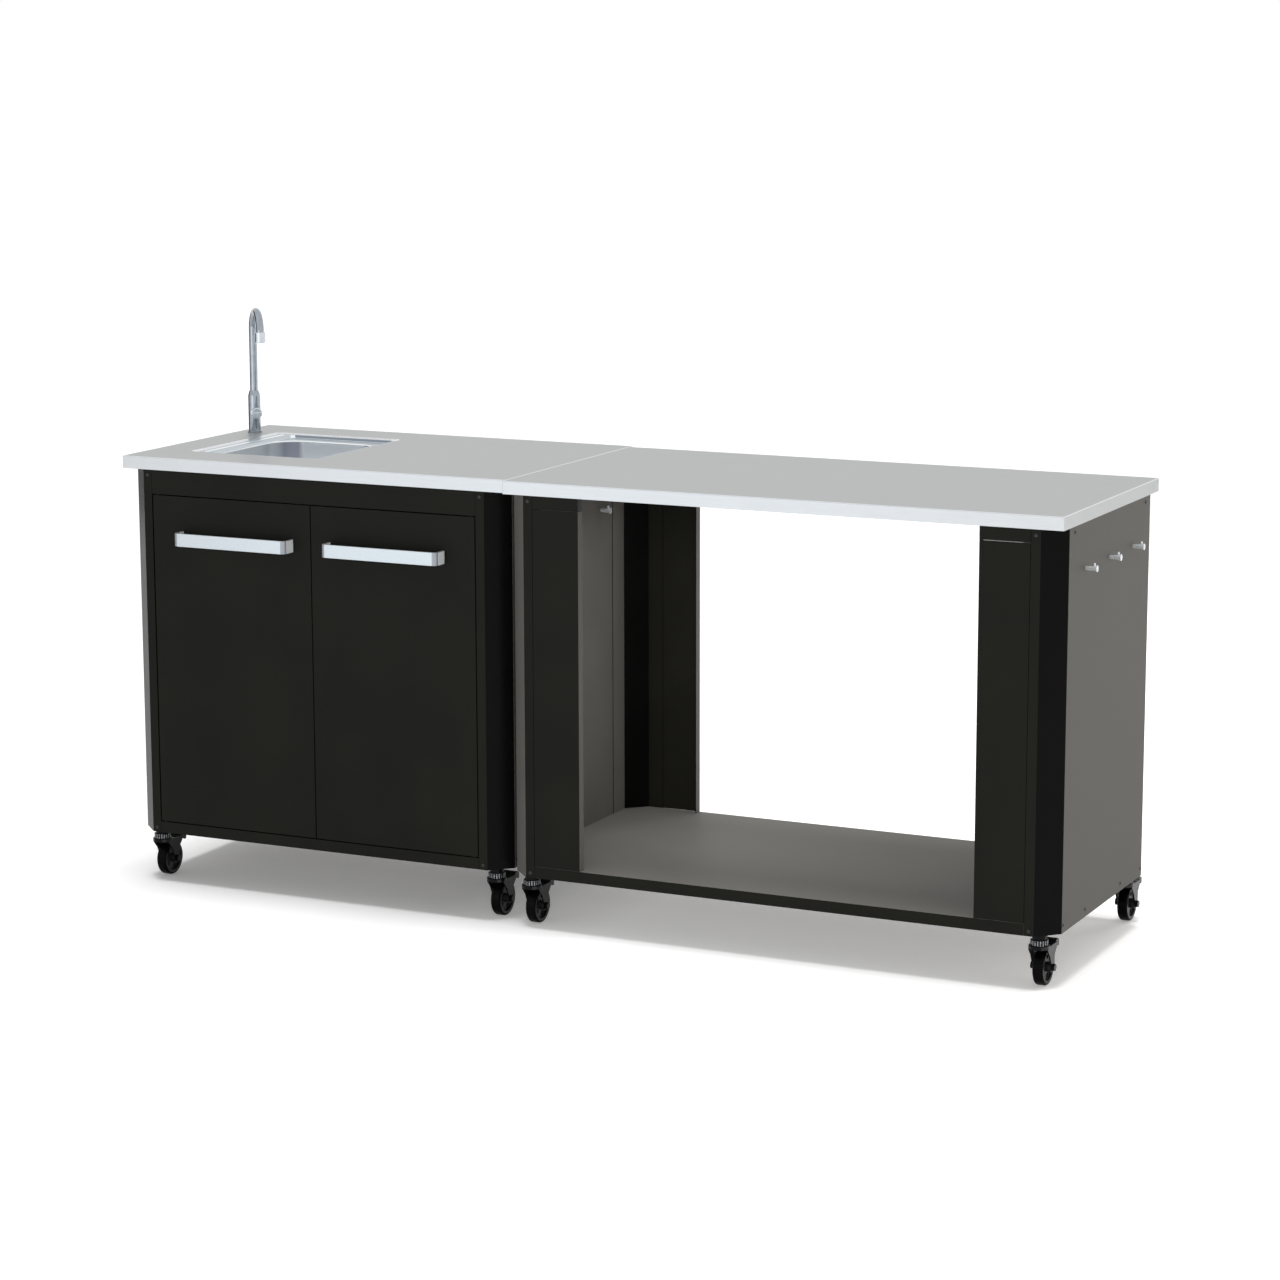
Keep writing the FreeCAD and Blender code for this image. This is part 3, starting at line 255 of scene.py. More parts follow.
# Chrome plated on brass: a mirror that returns little more than half of the light.
chrome = plain_metal("chrome_plated_brass", "#989fa6", "#a6acb3", 0.04, 0.07, 14, 0.005)
# The same plate on small turned pieces, painted paler: a painted highlight standing in for the light
# their tight curves gather.
chrome_painted_highlight = plain_metal("polished_chrome_painted_highlight", "#c6cdd3", "#d0d7dc", 0.05, 0.09, 14, 0.01)
# Blasted and anodised strap: an even silky sheen on its flat face.
handle_aluminium = plain_metal("satin_anodised_aluminium", "#c2c8cb", "#cdd3d6",
                               0.28, 0.36, 1.5, 0.01, 0.8)
# The bends are painted greyer than the flat face, as painted shade.
aluminium_painted_shade = plain_metal("bent_anodised_painted_shade", "#9a9fa5", "#a3a8ae",
                             0.34, 0.42, 1.5, 0.01, 0.8)
# The arms' sides are matt and painted pale from every side, as painted light.
aluminium_painted_light = plain_metal("matt_anodised_painted_light", "#eaeef2", "#f2f5f8",
                            0.42, 0.5, 1.5, 0.01, 0.0)
# Turned and polished pegs. The photo shows them bright and a little milky, without dark mirrors.
hook_steel = plain_metal("polished_steel_pegs", "#dde2e8", "#e6ebf0", 0.22, 0.3, 2, 0.01, 0.5)
# Zinc plate that has dulled: dark grey with a soft gloss.
zinc = plain_metal("dull_zinc_plate", "#55585c", "#606468", 0.45, 0.55, 3, 0.01)
# Black steel with bright patches of about 2 mm: painted glints, on teeth that are also worn where they
# lock and slip.
worn_steel_painted_glints = plain_metal("worn_black_steel_painted_glints", "#151517", "#aeb1b5", 0.2, 0.35, 2.2, 0.05)
# The palest steel, a painted highlight on rounded edges, the bead and the rib.
steel_painted_highlight = plain_metal("steel_edge_painted_highlight", "#eef1f3", "#f4f7f9", 0.22, 0.3, 2, 0.005)
# Steel blackened in a salt bath: nearly black, with a faint cold gloss.
black_oxide = plain_metal("black_oxide_steel", "#333336", "#3b3b3e", 0.35, 0.45, 1, 0.01, 0.6)
# Cast brass as it comes from the mould, seen only under the worktop.
tap_brass = plain_metal("plain_cast_brass", "#b8995e", "#c4a76c", 0.3, 0.42, 2, 0.02)
print("metals", chrome.name, handle_aluminium.name, hook_steel.name)

# %% [markdown]
# ## Powder coat
# Powder coat is paint baked from dust. It flows out into a skin that is never quite flat: a faint
# orange peel with waves a millimetre or two apart. The fronts are satin black. The corner posts'
# slanting folds are a darker, glossier black, as painted shade, and the side panels and the shelf,
# turned to a side or up, a graphite grey copy of the black, as painted light. The resin's own index of
# refraction is about 1.5, which would make every sheet pale at a flat angle. In the photo they stay
# dark there, so the index is matched to it and set lower.

# %% Powder coats
COAT_CLOUD_MM = 160


def powder_coat(name, low_hex, high_hex, rough_low, rough_high, index, peel_mm, depth_mm):
    """Baked paint with an orange peel, and broad clouds of colour and gloss."""
    material, tree, output, place = new_material(name)
    peel = noise(tree, place, peel_mm, EVEN, 1.0)
    clouds = noise(tree, place, COAT_CLOUD_MM)
    surface(tree, output, Base_Color=tint(tree, clouds, low_hex, high_hex),
            Roughness=spread(tree, clouds, rough_low, rough_high),
            IOR=index, Normal=bump(tree, peel, depth_mm))
    return material


# Fine texture powder: it spreads every reflection into one dark, slightly warm tone.
satin_black = powder_coat("satin_black_powder_coat", "#1c1c19", "#20201c", 0.42, 0.5, 1.15, 1.6, 0.012)
# Smooth powder with a clearer gloss; its deeper black on slanting folds and edges is painted shade.
gloss_black_painted_shade = powder_coat("gloss_black_coat_painted_shade", "#080808", "#0a0a0a", 0.2, 0.26, 1.15, 2.2, 0.01)
# Grey texture powder, a lighter copy of the black on faces turned to a side or up: painted light, even
# and quiet on the big panels.
graphite_painted_light = powder_coat("graphite_coat_painted_light", "#656460", "#6a6965",
                       0.5, 0.58, 1.15, 1.6, 0.012)
# Thin coat on pressed steel. The forks' cheeks, which face the side, take it as a paler copy beside
# the oiled steel: painted light.
caster_steel = powder_coat("black_coated_pressed_steel", "#0c0c0d", "#111112",
                           0.2, 0.3, 1.4, 1.2, 0.01)
# Steel blackened in oil: almost no light comes back from stems and pins. The forks' faces that don't
# face the side take it too, as painted shade.
stem_steel = powder_coat("black_oiled_stem_steel", "#080809", "#0c0c0d", 0.2, 0.3, 1.2, 1.2, 0.01)
print("coats", satin_black.name, gloss_black_painted_shade.name, graphite_painted_light.name)

# %% [markdown]
# ## Plastics and rubber
# The wheels are rubber over a nylon hub, the pedals are nylon, and the drain's tailpiece is plain
# white pipe plastic. Moulded plastic shows the fine grain of its mould. The indexes start from the
# usual 1.5 of plastics and are lowered where the photo stays black at a flat angle, as on the tyres.

# %% Plastics
PLASTIC_INDEX = 1.45


def moulded(name, low_hex, high_hex, rough_low, rough_high, grain_mm, depth_mm,
            index=PLASTIC_INDEX):
    """Plastic or rubber with the grain of its mould."""
    material, tree, output, place = new_material(name)
    grain = noise(tree, place, grain_mm)
    surface(tree, output, Base_Color=tint(tree, grain, low_hex, high_hex),
            Roughness=spread(tree, grain, rough_low, rough_high),
            IOR=index, Normal=bump(tree, grain, depth_mm))
    return material


# Rubber moulded in a polished mould: deep black that swallows nearly all light.
tyre_rubber = moulded("moulded_black_rubber", "#060606", "#09090a", 0.24, 0.32, 0.8, 0.02, 1.12)
# Hub nylon is a touch greyer than the tyre, so the two can be told apart.
hub_nylon = moulded("moulded_hub_nylon", "#1c1c1d", "#232325", 0.3, 0.4, 0.8, 0.02, 1.4)
# Glass-filled nylon pedals: black with a soft gloss.
pedal_nylon = moulded("moulded_black_nylon", "#131314", "#19191a", 0.3, 0.4, 0.7, 0.02)
# White pipe plastic, under the bowl.
drain_plastic = moulded("moulded_white_polypropylene", "#cfcfcb", "#d6d6d2", 0.4, 0.5, 1.0, 0.01)
# White housings of the door magnets.
magnet_plastic = moulded("moulded_white_abs", "#c8c8c3", "#d0d0cb", 0.35, 0.45, 1.0, 0.01)
print("plastics", tyre_rubber.name, pedal_nylon.name)

# %% [markdown]
# ## Finishes by slot
# The CAD record names a slot for each node, such as chrome or zinc. Every node takes the finish of
# its slot first. Most hidden pieces need nothing more, and the cells below rebuild the others.

# %% Every CAD node takes the finish of its slot
finishes = {
    "worktop_steel": worktop_steel, "basin_steel": basin_steel, "chrome": chrome,
    "tap_brass": tap_brass, "drain_plastic": drain_plastic, "handle_aluminium": handle_aluminium,
    "satin_black_paint": satin_black, "gloss_black_paint": gloss_black_painted_shade, "graphite_paint": graphite_painted_light,
    "zinc": zinc, "hook_steel": hook_steel, "black_screw": black_oxide,
    "caster_steel": caster_steel, "pedal_black": pedal_nylon, "wheel_black": tyre_rubber,
    "magnet_plastic": magnet_plastic}
slot_of_node = {part["node"]: part["material_slot"] for part in frame["record"]["subparts"]}
for node, obj in nodes.items():
    obj.material_slots[0].material = finishes[slot_of_node[node]]
print("finished nodes", len(nodes))

# %% [markdown]
# ## Real edges
# CAD sheet ends in edges of no radius at all, which no press brake can make, and such an edge never
# catches a light. A Bevel modifier would round them, but it would also round the seams between the
# CAD mesh's loose triangles. So the mesh is copied and merged, its flat areas are made whole, and
# only the long sharp edges are bevelled. The copy then rides on its node's body in the node's place.

# %% Helpers for rounded copies
MERGE_MM = 0.005
FLAT_DEGREES = 0.5
CORNER_DEGREES = 50
SHADED_SHARP_DEGREES = 34
SHORTEST_ROUNDED_MM = 4.0
SHEET_ROUNDING_MM = 0.4


def merged_copy(node):
    """The CAD node's skin as one mesh, with its flat areas whole."""
    bm = bmesh.new()
    bm.from_mesh(nodes[node].data)
    bm.transform(nodes[node].matrix_world)
    bmesh.ops.remove_doubles(bm, verts=bm.verts, dist=MERGE_MM * MM)
    bmesh.ops.dissolve_limit(bm, angle_limit=math.radians(FLAT_DEGREES), verts=bm.verts,
                             edges=bm.edges)
    return bm


def round_long_edges(bm, radius_mm):
    """Round the long edges that turn a sharp corner."""
    sharp = [edge for edge in bm.edges if len(edge.link_faces) == 2
             and edge.calc_length() > SHORTEST_ROUNDED_MM * MM
             and edge.calc_face_angle() > math.radians(CORNER_DEGREES)]
    bmesh.ops.bevel(bm, geom=sharp, offset=radius_mm * MM, offset_type="OFFSET", affect="EDGES",
                    segments=2, profile=0.5, clamp_overlap=True, material=-1)


def finished(node, bm, materials):
    """Make the mesh an object in place of the node, smooth but for its sharp edges."""
    for face in bm.faces:
        face.smooth = True
    for edge in bm.edges:
        edge.smooth = (len(edge.link_faces) == 2
                       and edge.calc_face_angle() < math.radians(SHADED_SHARP_DEGREES))
    mesh = bpy.data.meshes.new(node + "_finished")
    bm.to_mesh(mesh)
    bm.free()
    for material in materials:
        mesh.materials.append(material)
    obj = bpy.data.objects.new(node + "_finished", mesh)
    bpy.context.scene.collection.objects.link(obj)
    weighted = obj.modifiers.new("weighted_normals", "WEIGHTED_NORMAL")
    weighted.keep_sharp = True
    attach(obj, body_of_node[node])
    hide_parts(node)


def softened(node, materials, choose=lambda face: 0, radius_mm=SHEET_ROUNDING_MM):
    """A rounded copy in place of the node. The test picks each face's material by its number."""
    bm = merged_copy(node)
    round_long_edges(bm, radius_mm)
    for face in bm.faces:
        face.material_index = choose(face)
    finished(node, bm, materials)


print("sheet edges are rounded by", SHEET_ROUNDING_MM, "mm")

# %% [markdown]
# ## Painted sheets
# One sheet can show two or three tones, painted by how its faces turn: the parts that face the front
# are satin black, the slanting folds beside them a glossier black as painted shade, and the broad
# sides graphite grey as painted light. Two small tests look at how a face is turned and name its
# finish.

# %% Posts, fillers, doors and panels
FACES_FRONT = 0.9
FACES_SIDE = 0.9
SLANTS = 0.3
BROAD_FACE_M2 = 0.004


def by_facing(face):
    """0 for faces to the front or back, 1 for broad ones to a side, 2 for folds and edges: the painted
    light and painted shade of one coat.
    """
    if abs(face.normal.y) > FACES_FRONT:
        return 0
    return 1 if abs(face.normal.x) > FACES_SIDE and face.calc_area() > BROAD_FACE_M2 else 2


def gap_by_facing(face):
    """As by_facing, but the fold that looks out of the gap between the units is graphite too, as
    painted light.
    """
    slants_left = face.normal.x < -SLANTS and face.normal.y < -SLANTS
    return 1 if slants_left and face.calc_area() > BROAD_FACE_M2 else by_facing(face)


sheet_finishes = (satin_black, graphite_painted_light, gloss_black_painted_shade)
softened("table_front_posts", sheet_finishes, gap_by_facing)
for node in ("table_back_posts", "cabinet_front_posts", "cabinet_back_posts", "table_fillers",
             "table_top_brackets"):
    softened(node, sheet_finishes, by_facing)
softened("table_shelf", (satin_black, graphite_painted_light, graphite_painted_light), by_facing)
for node in ("door_left", "door_right", "cabinet_top_rail", "cabinet_bottom_rail",
             "cabinet_back_panel"):
    softened(node, (satin_black,))
for node in ("table_left_side", "table_right_side", "cabinet_left_side", "cabinet_right_side",
             "cabinet_floor"):
    softened(node, (graphite_painted_light,))

# %% [markdown]
# ## Worktops
# The flats of a worktop are brushed. Its bent rim and the edges of the pressed recess are painted
# bright, a painted highlight; the recess's wall that faces the front is painted dark, a painted
# reflection, and its floor is pale. How steep a face is tells these apart: the recess's walls lean by
# about 70 degrees, its rounded edges by less.

# %% Finishes of the worktops
WALL_SLOPE = (0.2, 0.4)
FLAT_SLOPE = 0.985
WALL_FACES_FRONT = -0.8
LEDGE_DROP_MM = 2.4
RECESS_REACH_MM = 8
ledge_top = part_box("sink_worktop")[1][2] - LEDGE_DROP_MM * MM
recess_low = ledge_top - RECESS_REACH_MM * MM
SHEET_FLAT, PAINTED_HIGHLIGHT_EDGE, FRONT_WALL, RECESS_FLOOR = range(4)
steel_finishes = (worktop_steel, steel_painted_highlight, wall_steel_painted_reflection, recess_steel)


def steel_by_slope(face):
    """The number of the face's steel, by how far it leans and which way. The wall facing the front
    takes the painted reflection, the recess's side walls the pale steel as painted light, the rounded
    edges the painted highlight.
    """
    slope = face.normal.z
    if WALL_SLOPE[0] < slope < WALL_SLOPE[1]:
        return FRONT_WALL if face.normal.y < WALL_FACES_FRONT else RECESS_FLOOR
    if slope > FLAT_SLOPE and recess_low < face.calc_center_median().z < ledge_top:
        return RECESS_FLOOR
    return PAINTED_HIGHLIGHT_EDGE if WALL_SLOPE[1] < slope < FLAT_SLOPE else SHEET_FLAT


softened("table_worktop", steel_finishes, steel_by_slope)
print("steel finishes", [material.name for material in steel_finishes])

# %% [markdown]
# ## The bead round the bowl
# The sheet is pressed over the bowl's rim, which leaves a low bead all round the mouth, painted with
# the pale steel of the painted highlight.
# It could be a bump in the material, but a bump has no outline against the dark bowl. So a rounded
# rectangle is drawn for each step of the bead's profile, and the loops are bridged one by one.

# %% Bead
BASIN_FLANGE_MM = 8.0
MOUTH_CORNER_MM = 60.0
SHEET_MM = 1.5
BEAD_MM = ((0.2, -0.6), (0.4, 0.3), (2.0, 1.0), (4.5, 1.2), (7.0, 0.8), (8.6, -0.3))
CORNER_SEGMENTS = 10


def pressed_bead(bm, low, high, corner_mm, profile):
    """A bead round a rounded rectangle. The profile is (outwards, upwards) in mm, from the mouth."""
    middle = (low + high) / 2
    loops = []
    for grow, rise in profile:
        verts = bmesh.ops.create_grid(bm, x_segments=1, y_segments=1, size=0.5)["verts"]
        width, length = (high[axis] - low[axis] + 2 * grow * MM for axis in (0, 1))
        bmesh.ops.scale(bm, verts=verts, vec=(width, length, 1))
        bmesh.ops.translate(bm, verts=verts, vec=(middle.x, middle.y, high.z + rise * MM))
        rounded = bmesh.ops.bevel(bm, geom=verts, offset=(corner_mm + grow) * MM,
                                  offset_type="OFFSET", affect="VERTICES",
                                  segments=CORNER_SEGMENTS, profile=0.5, material=-1)
        plate = rounded["verts"][0].link_faces[0]
        loops.append(list(plate.edges))
        bmesh.ops.delete(bm, geom=[plate], context="FACES_ONLY")
    made = []
    for inner, outer in zip(loops, loops[1:]):
        made += bmesh.ops.bridge_loops(bm, edges=inner + outer)["faces"]
    bmesh.ops.recalc_face_normals(bm, faces=made)
    return made


basin_low, basin_high = (Vector(corner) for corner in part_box("sink_basin"))
flange = Vector((BASIN_FLANGE_MM, BASIN_FLANGE_MM, 0)) * MM
sheet_up = Vector((0, 0, SHEET_MM * MM))
bm = merged_copy("sink_worktop")
round_long_edges(bm, SHEET_ROUNDING_MM)
for face in bm.faces:
    face.material_index = steel_by_slope(face)
bead = pressed_bead(bm, basin_low + flange, basin_high - flange + sheet_up, MOUTH_CORNER_MM, BEAD_MM)
# The bead takes the painted highlight.
for face in bead:
    face.material_index = PAINTED_HIGHLIGHT_EDGE
print("bead faces", len(bead))

# %% [markdown]
# ## The rib on the ledge
# Left of the bowl the recess has a ledge, and a low rib pressed into it, in the pale steel of the
# painted highlight, draws a second light line beside the recess's edge. A flat box, sunk to half its
# height in the sheet and rounded, is enough.

# %% Rib
RIB_FROM_LEDGE_MM = 13.0
RIB_WIDTH_MM = 9.0
RIB_RISE_MM = 0.6
RIB_ROUND_MM = 0.45
RIB_SHORTER_MM = 24.0
ledge = [vert.co for face in bm.faces
         if face.material_index == RECESS_FLOOR and face.normal.z > FLAT_SLOPE for vert in face.verts]
rib_x = min(co.x for co in ledge) + (RIB_FROM_LEDGE_MM + RIB_WIDTH_MM / 2) * MM
ledge_front, ledge_back = min(co.y for co in ledge), max(co.y for co in ledge)
known_faces = set(bm.faces)
rib = bmesh.ops.create_cube(bm, size=1)["verts"]
bmesh.ops.scale(bm, verts=rib, vec=(RIB_WIDTH_MM * MM, ledge_back - ledge_front - RIB_SHORTER_MM * MM,
                                    2 * RIB_RISE_MM * MM))
bmesh.ops.translate(bm, verts=rib, vec=(rib_x, (ledge_front + ledge_back) / 2,
                                        max(co.z for co in ledge)))
bmesh.ops.bevel(bm, geom=list({edge for vert in rib for edge in vert.link_edges}),
                offset=RIB_ROUND_MM * MM, offset_type="OFFSET", affect="EDGES", segments=2,
                profile=0.5, material=-1)
rib_faces = set(bm.faces) - known_faces
# The rib takes the painted highlight too.
for face in rib_faces:
    face.material_index = PAINTED_HIGHLIGHT_EDGE
finished("sink_worktop", bm, steel_finishes)
print("rib faces", len(rib_faces))

# %% [markdown]
# ## Handles, hinge pins and tap
# A handle is one strap of aluminium bent twice. Its flat face, its bends and its arms are painted in
# three tones of one aluminium: the bends darker as painted shade, the arms paler as painted light. The
# hinge pins have facets where the real ones are round, and these facets would cut those of the turning
# doors. So they are drawn slimmer by a twelfth of a millimetre. The tap keeps its form and gets fine
# edges, and its aerator and knob get the paler chrome of the painted highlight.

# %% Handles, pins and tap
STRAP_FLAT = 0.12
ARM_SIDE = 0.96
SMALL_ROUNDING_MM = 0.2
SLIMMER_MM = 0.08


def by_bend(face):
    """0 for the strap's flat face, 1 for its bends, 2 for its arms."""
    across = abs(face.normal.x)
    return 0 if across < STRAP_FLAT else 1 if across < ARM_SIDE else 2


for node in ("handle_left", "handle_right"):
    softened(node, (handle_aluminium, aluminium_painted_shade, aluminium_painted_light), by_bend, SMALL_ROUNDING_MM)
bm = merged_copy("hinge_pins")
bm.normal_update()
for vert in bm.verts:
    vert.co -= vert.normal * SLIMMER_MM * MM
finished("hinge_pins", bm, (stem_steel,))
for node, plate in (("tap_body", chrome), ("tap_spout", chrome), ("tap_aerator", chrome_painted_highlight),
                    ("tap_knob", chrome_painted_highlight)):
    softened(node, (plate,), radius_mm=SMALL_ROUNDING_MM)

# %% [markdown]
# ## Casters
# A caster wheel is two materials: a rubber tyre round a harder nylon hub. Both are one solid in the
# CAD, so the copy's faces are told apart by their distance from the axle. The stem carries a crown of
# teeth that lock the swivel; their bright patches are painted glints. The forks' flat cheeks, which
# face the side, are painted paler than the rest of the fork, as painted light.

# %% Wheels, crowns, forks and pedals
TYRE_INNER_MM = 28.3
CROWN_LOW_MM = 88.0
CROWN_HIGH_MM = 98.6
CROWN_INNER_MM = 16.2
CHEEK_FACES_SIDE = 0.5
joint_places = {joint["name"]: Vector(joint["pos_m"])
                for joint in frame["record"]["behaviour"]["joints"]}
stems = [joint_places["caster_swivel_%d" % k] for k in casters]


def wheel_faces(axle):
    """A test that gives 0 for the tyre and 1 for the hub of the wheel on this axle."""
    def choose(face):
        centre = face.calc_center_median()
        from_axle = math.hypot(centre.y - axle.y, centre.z - axle.z)
        return 0 if from_axle > TYRE_INNER_MM * MM else 1
    return choose


def fork_faces(face):
    """1 for a fork's flat cheeks, which take the paler coat as painted light, 0 for everything else.
    """
    return int(abs(face.normal.x) > CHEEK_FACES_SIDE)


def crown_faces(face):
    """1 for the teeth round each stem, 0 for everything else."""
    centre = face.calc_center_median()
    if not CROWN_LOW_MM * MM < centre.z < CROWN_HIGH_MM * MM:
        return 0
    nearest = min(math.hypot(centre.x - stem.x, centre.y - stem.y) for stem in stems)
    return 1 if nearest > CROWN_INNER_MM * MM else 0


for k in casters:
    axle = joint_places["wheel_spin_%d" % k]
    softened("caster_wheel_%d" % k, (tyre_rubber, hub_nylon), wheel_faces(axle))
    softened("caster_fork_%d" % k, (stem_steel, caster_steel), fork_faces)
    softened("caster_brake_%d" % k, (pedal_nylon,))
softened("caster_stems", (stem_steel, worn_steel_painted_glints), crown_faces)

# %% [markdown]
# ## Camera
# The photograph was taken with a long lens from the front right, a little above the worktop. The
# numbers come from fitting a camera to the corners of both worktops.

# %% Camera
PHOTO_PIXELS = 1280
FOCAL_PIXELS = 3484.0
SENSOR_MM = 36.0
CAMERA_PLACE = (3.137424, -6.538356, 1.906611)
YAW_PITCH_ROLL = (25.513, 10.475, -0.118)
camera_data = bpy.data.cameras.new("camera")
camera_data.sensor_width = SENSOR_MM
camera_data.lens = FOCAL_PIXELS * SENSOR_MM / PHOTO_PIXELS
camera = bpy.data.objects.new("camera", camera_data)
bpy.context.scene.collection.objects.link(camera)
yaw, pitch, roll = (math.radians(angle) for angle in YAW_PITCH_ROLL)
turn = (Matrix.Rotation(yaw, 4, "Z") @ Matrix.Rotation(math.pi / 2 - pitch, 4, "X")
        @ Matrix.Rotation(roll, 4, "Z"))
camera.matrix_world = Matrix.Translation(CAMERA_PLACE) @ turn
bpy.context.scene.camera = camera
bpy.context.scene.view_settings.view_transform = "Standard"
print("lens", camera_data.lens)

# %% [markdown]
# ## Floor
# The floor is white paper under a lamp: a lamp straight above leaves the shadow right under the two
# units, and a small glow of its own, painted light, keeps that shadow pale. Under the open table the
# painted glow is stronger, so the shadow there is paler. The paper and its glow are brighter where the
# camera or a gloss looks at them, through the Light Path node, than for the light they return.

# %% Floor
FLOOR_HALF_M = 30
FLOOR_DROP_M = 0.0005
PAPER_GREY = 0.79
GLOW_LEFT, GLOW_RIGHT = 0.14, 0.28
GLOW_FROM_X, GLOW_TO_X = -0.35, 0.05


def grey_by_ray(tree, for_light, for_view):
    """One grey for rays that carry light, another for the camera, glosses and transparent bodies."""
    path = add_node(tree, "ShaderNodeLightPath")
    seen = add_node(tree, "ShaderNodeMath", {"operation": "MAXIMUM"},
                    _0=path.outputs["Is Camera Ray"], _1=path.outputs["Is Glossy Ray"])
    seen = add_node(tree, "ShaderNodeMath", {"operation": "MAXIMUM"},
                    _0=seen.outputs[0], _1=path.outputs["Is Transmission Ray"])
    return add_node(tree, "ShaderNodeMapRange", Value=seen.outputs[0], To_Min=for_light,
                    To_Max=for_view).outputs[0]


def staged(name, bm, material):
    """An object of the studio, which is no part of the kitchen."""
    mesh = bpy.data.meshes.new(name)
    bm.to_mesh(mesh)
    bm.free()
    mesh.materials.append(material)
    obj = bpy.data.objects.new(name, mesh)
    bpy.context.scene.collection.objects.link(obj)
    return obj


floor_paper, tree, output, place = new_material("matte_white_paper")
camera_ray = add_node(tree, "ShaderNodeLightPath").outputs["Is Camera Ray"]
paper_grey = add_node(tree, "ShaderNodeMapRange", Value=camera_ray, To_Min=PAPER_GREY,
                      To_Max=1.0).outputs[0]
paper = add_node(tree, "ShaderNodeBsdfDiffuse", Color=paper_grey)
across = add_node(tree, "ShaderNodeSeparateXYZ", _0=place).outputs["X"]
strength = add_node(tree, "ShaderNodeMapRange", Value=across, From_Min=GLOW_FROM_X,
                    From_Max=GLOW_TO_X, To_Min=GLOW_LEFT, To_Max=GLOW_RIGHT).outputs[0]
seen_strength = add_node(tree, "ShaderNodeMath", {"operation": "MULTIPLY"}, _0=strength,
                         _1=grey_by_ray(tree, 0.0, 1.0)).outputs[0]
glow = add_node(tree, "ShaderNodeEmission", Color=linear("#ffffff"), Strength=seen_strength)
lit = add_node(tree, "ShaderNodeAddShader", _0=paper.outputs[0], _1=glow.outputs[0])
tree.links.new(lit.outputs[0], output.inputs[0])
floor_bm = bmesh.new()
bmesh.ops.create_grid(floor_bm, x_segments=1, y_segments=1, size=FLOOR_HALF_M)
bmesh.ops.translate(floor_bm, verts=floor_bm.verts, vec=(0, 0, -FLOOR_DROP_M))
staged("studio_floor", floor_bm, floor_paper)
print("floor", 2 * FLOOR_HALF_M, "m wide")

# %% [markdown]
# ## Surround
# A catalogue picture has a white surround. The world is white where the camera or a gloss looks at
# it, and only a plain fill for the object's own light.

# %% World
WORLD_FILL = 0.3
world = bpy.data.worlds.new("white_studio")
bpy.context.scene.world = world
world.use_nodes = True
world.node_tree.nodes.clear()
tree = world.node_tree
output = tree.nodes.new("ShaderNodeOutputWorld")
white = add_node(tree, "ShaderNodeBackground", Color=linear("#ffffff"),
                 Strength=grey_by_ray(tree, WORLD_FILL, 1.0))
tree.links.new(white.outputs[0], output.inputs[0])
print("world fill", WORLD_FILL)

# %% [markdown]
# ## Lamps
# A broad lamp overhead gives the plain level. Four soft boxes stand round the kitchen, and the low
# one in front is the only lamp that shows in a gloss: it draws the light band on steel and handles.
# The bay of the table and the bowl would be black holes, so small lamps inside them fill them. Their
# light fans out narrowly, or it would fall on the posts beside them as well.

# %% Soft boxes and fills
OVERHEAD_STRENGTH = 2.1
OVERHEAD_DEGREES = 20
OVERHEAD_PLACE = (0, 0, 4)
OVERHEAD_TARGET = (0, 0.01, 0)
ALL_ROUND = 180
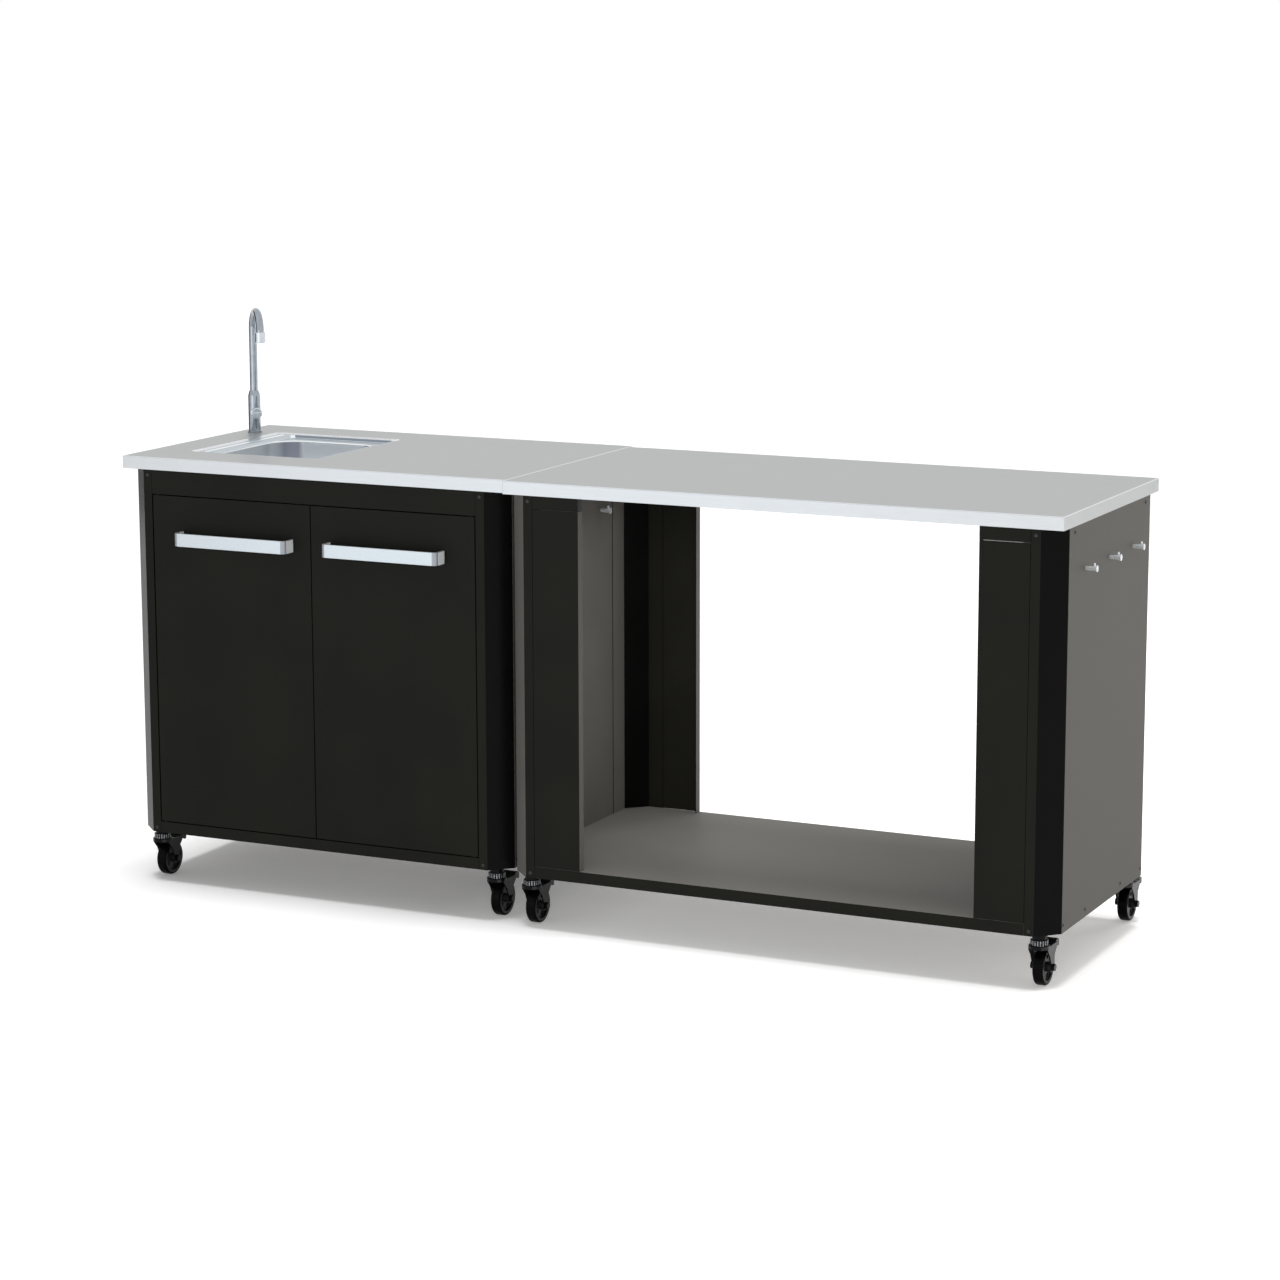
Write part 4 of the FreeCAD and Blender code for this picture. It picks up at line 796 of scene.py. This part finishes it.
# Each row: name, place, target, width and height, watts, colour, shown in glosses, fan in degrees.
SOFT_BOXES = (
    ("low_front_softbox", (-1.3, -3.6, 0.75), (0.5, 0, 0.75), (2.8, 1.3), 11.2, "#e4f1ff", True,
     ALL_ROUND),
    ("front_right_softbox", (1.9, -4.6, 1.5), (0, 0.2, 0.4), (1.6, 1.4), 48, "#fff9f2", False,
     ALL_ROUND),
    ("right_softbox", (4.4, 0.2, 1.6), (1.0, 0, 0.5), (1.6, 1.4), 15, "#fff9f2", False, ALL_ROUND),
    ("back_softbox", (2.0, 4.4, 1.6), (0.2, 0, 0.3), (2.4, 1.4), 60, "#fff9f2", False, ALL_ROUND),
    ("bay_fill", (0.5, 0.0, 0.86), (0.5, 0, 0), (0.6, 0.45), 0.6, "#ffffff", False, 110),
    ("bay_left_fill", (0.06, 0.0, 0.86), (0.06, 0, 0), (0.34, 0.45), 0.8, "#ffffff", False, 90),
    ("bay_front_fill", (0.4, -0.29, 0.5), (0.4, 0.3, 0.5), (0.9, 0.6), 0.9, "#ffffff", False, 100),
    ("bowl_fill", (-0.807, -0.01, 0.925), (-0.807, -0.01, 0), (0.2, 0.22), 0.2, "#f4f8ff", False, 150),
)


def aim(name, data, place, target, reflected):
    """Put a lamp at its place, turned to its target. The camera never sees it."""
    lamp = bpy.data.objects.new(name, data)
    bpy.context.scene.collection.objects.link(lamp)
    lamp.location = place
    lamp.rotation_euler = (Vector(target) - Vector(place)).to_track_quat("-Z", "Y").to_euler()
    lamp.visible_camera = False
    lamp.visible_glossy = reflected


overhead_data = bpy.data.lights.new("overhead_lamp", "SUN")
overhead_data.energy = OVERHEAD_STRENGTH
overhead_data.angle = math.radians(OVERHEAD_DEGREES)
aim("overhead_lamp", overhead_data, OVERHEAD_PLACE, OVERHEAD_TARGET, False)
for name, place, target, size, watts, hex_code, reflected, fan in SOFT_BOXES:
    data = bpy.data.lights.new(name, "AREA")
    data.shape = "RECTANGLE"
    data.size, data.size_y = size
    data.energy = watts
    data.spread = math.radians(fan)
    data.color = linear(hex_code)[:3]
    aim(name, data, place, target, reflected)
print("lamps", len(bpy.data.lights))

# %% [markdown]
# ## A dark flag
# Chrome in an all-white room has no outline. Photographers stand a black cloth, a flag, beside it.
# This one is on the left, and only glosses see it: it throws no shadow and takes no light away.

# %% Flag
FLAG_HALF_M = 0.9
FLAG_PLACE = (-3.4, 0.4, 1.3)
flag_cloth, tree, output, _ = new_material("black_flag_cloth")
surface(tree, output, Base_Color=linear("#101214"), Roughness=1.0, IOR=1.1)
flag_bm = bmesh.new()
bmesh.ops.create_grid(flag_bm, x_segments=1, y_segments=1, size=FLAG_HALF_M)
bmesh.ops.rotate(flag_bm, verts=flag_bm.verts, matrix=Matrix.Rotation(math.pi / 2, 3, "Y"))
bmesh.ops.translate(flag_bm, verts=flag_bm.verts, vec=FLAG_PLACE)
flag = staged("dark_flag", flag_bm, flag_cloth)
for ray in ("camera", "diffuse", "shadow", "transmission"):
    setattr(flag, "visible_" + ray, False)
print("flag", 2 * FLAG_HALF_M, "m wide")
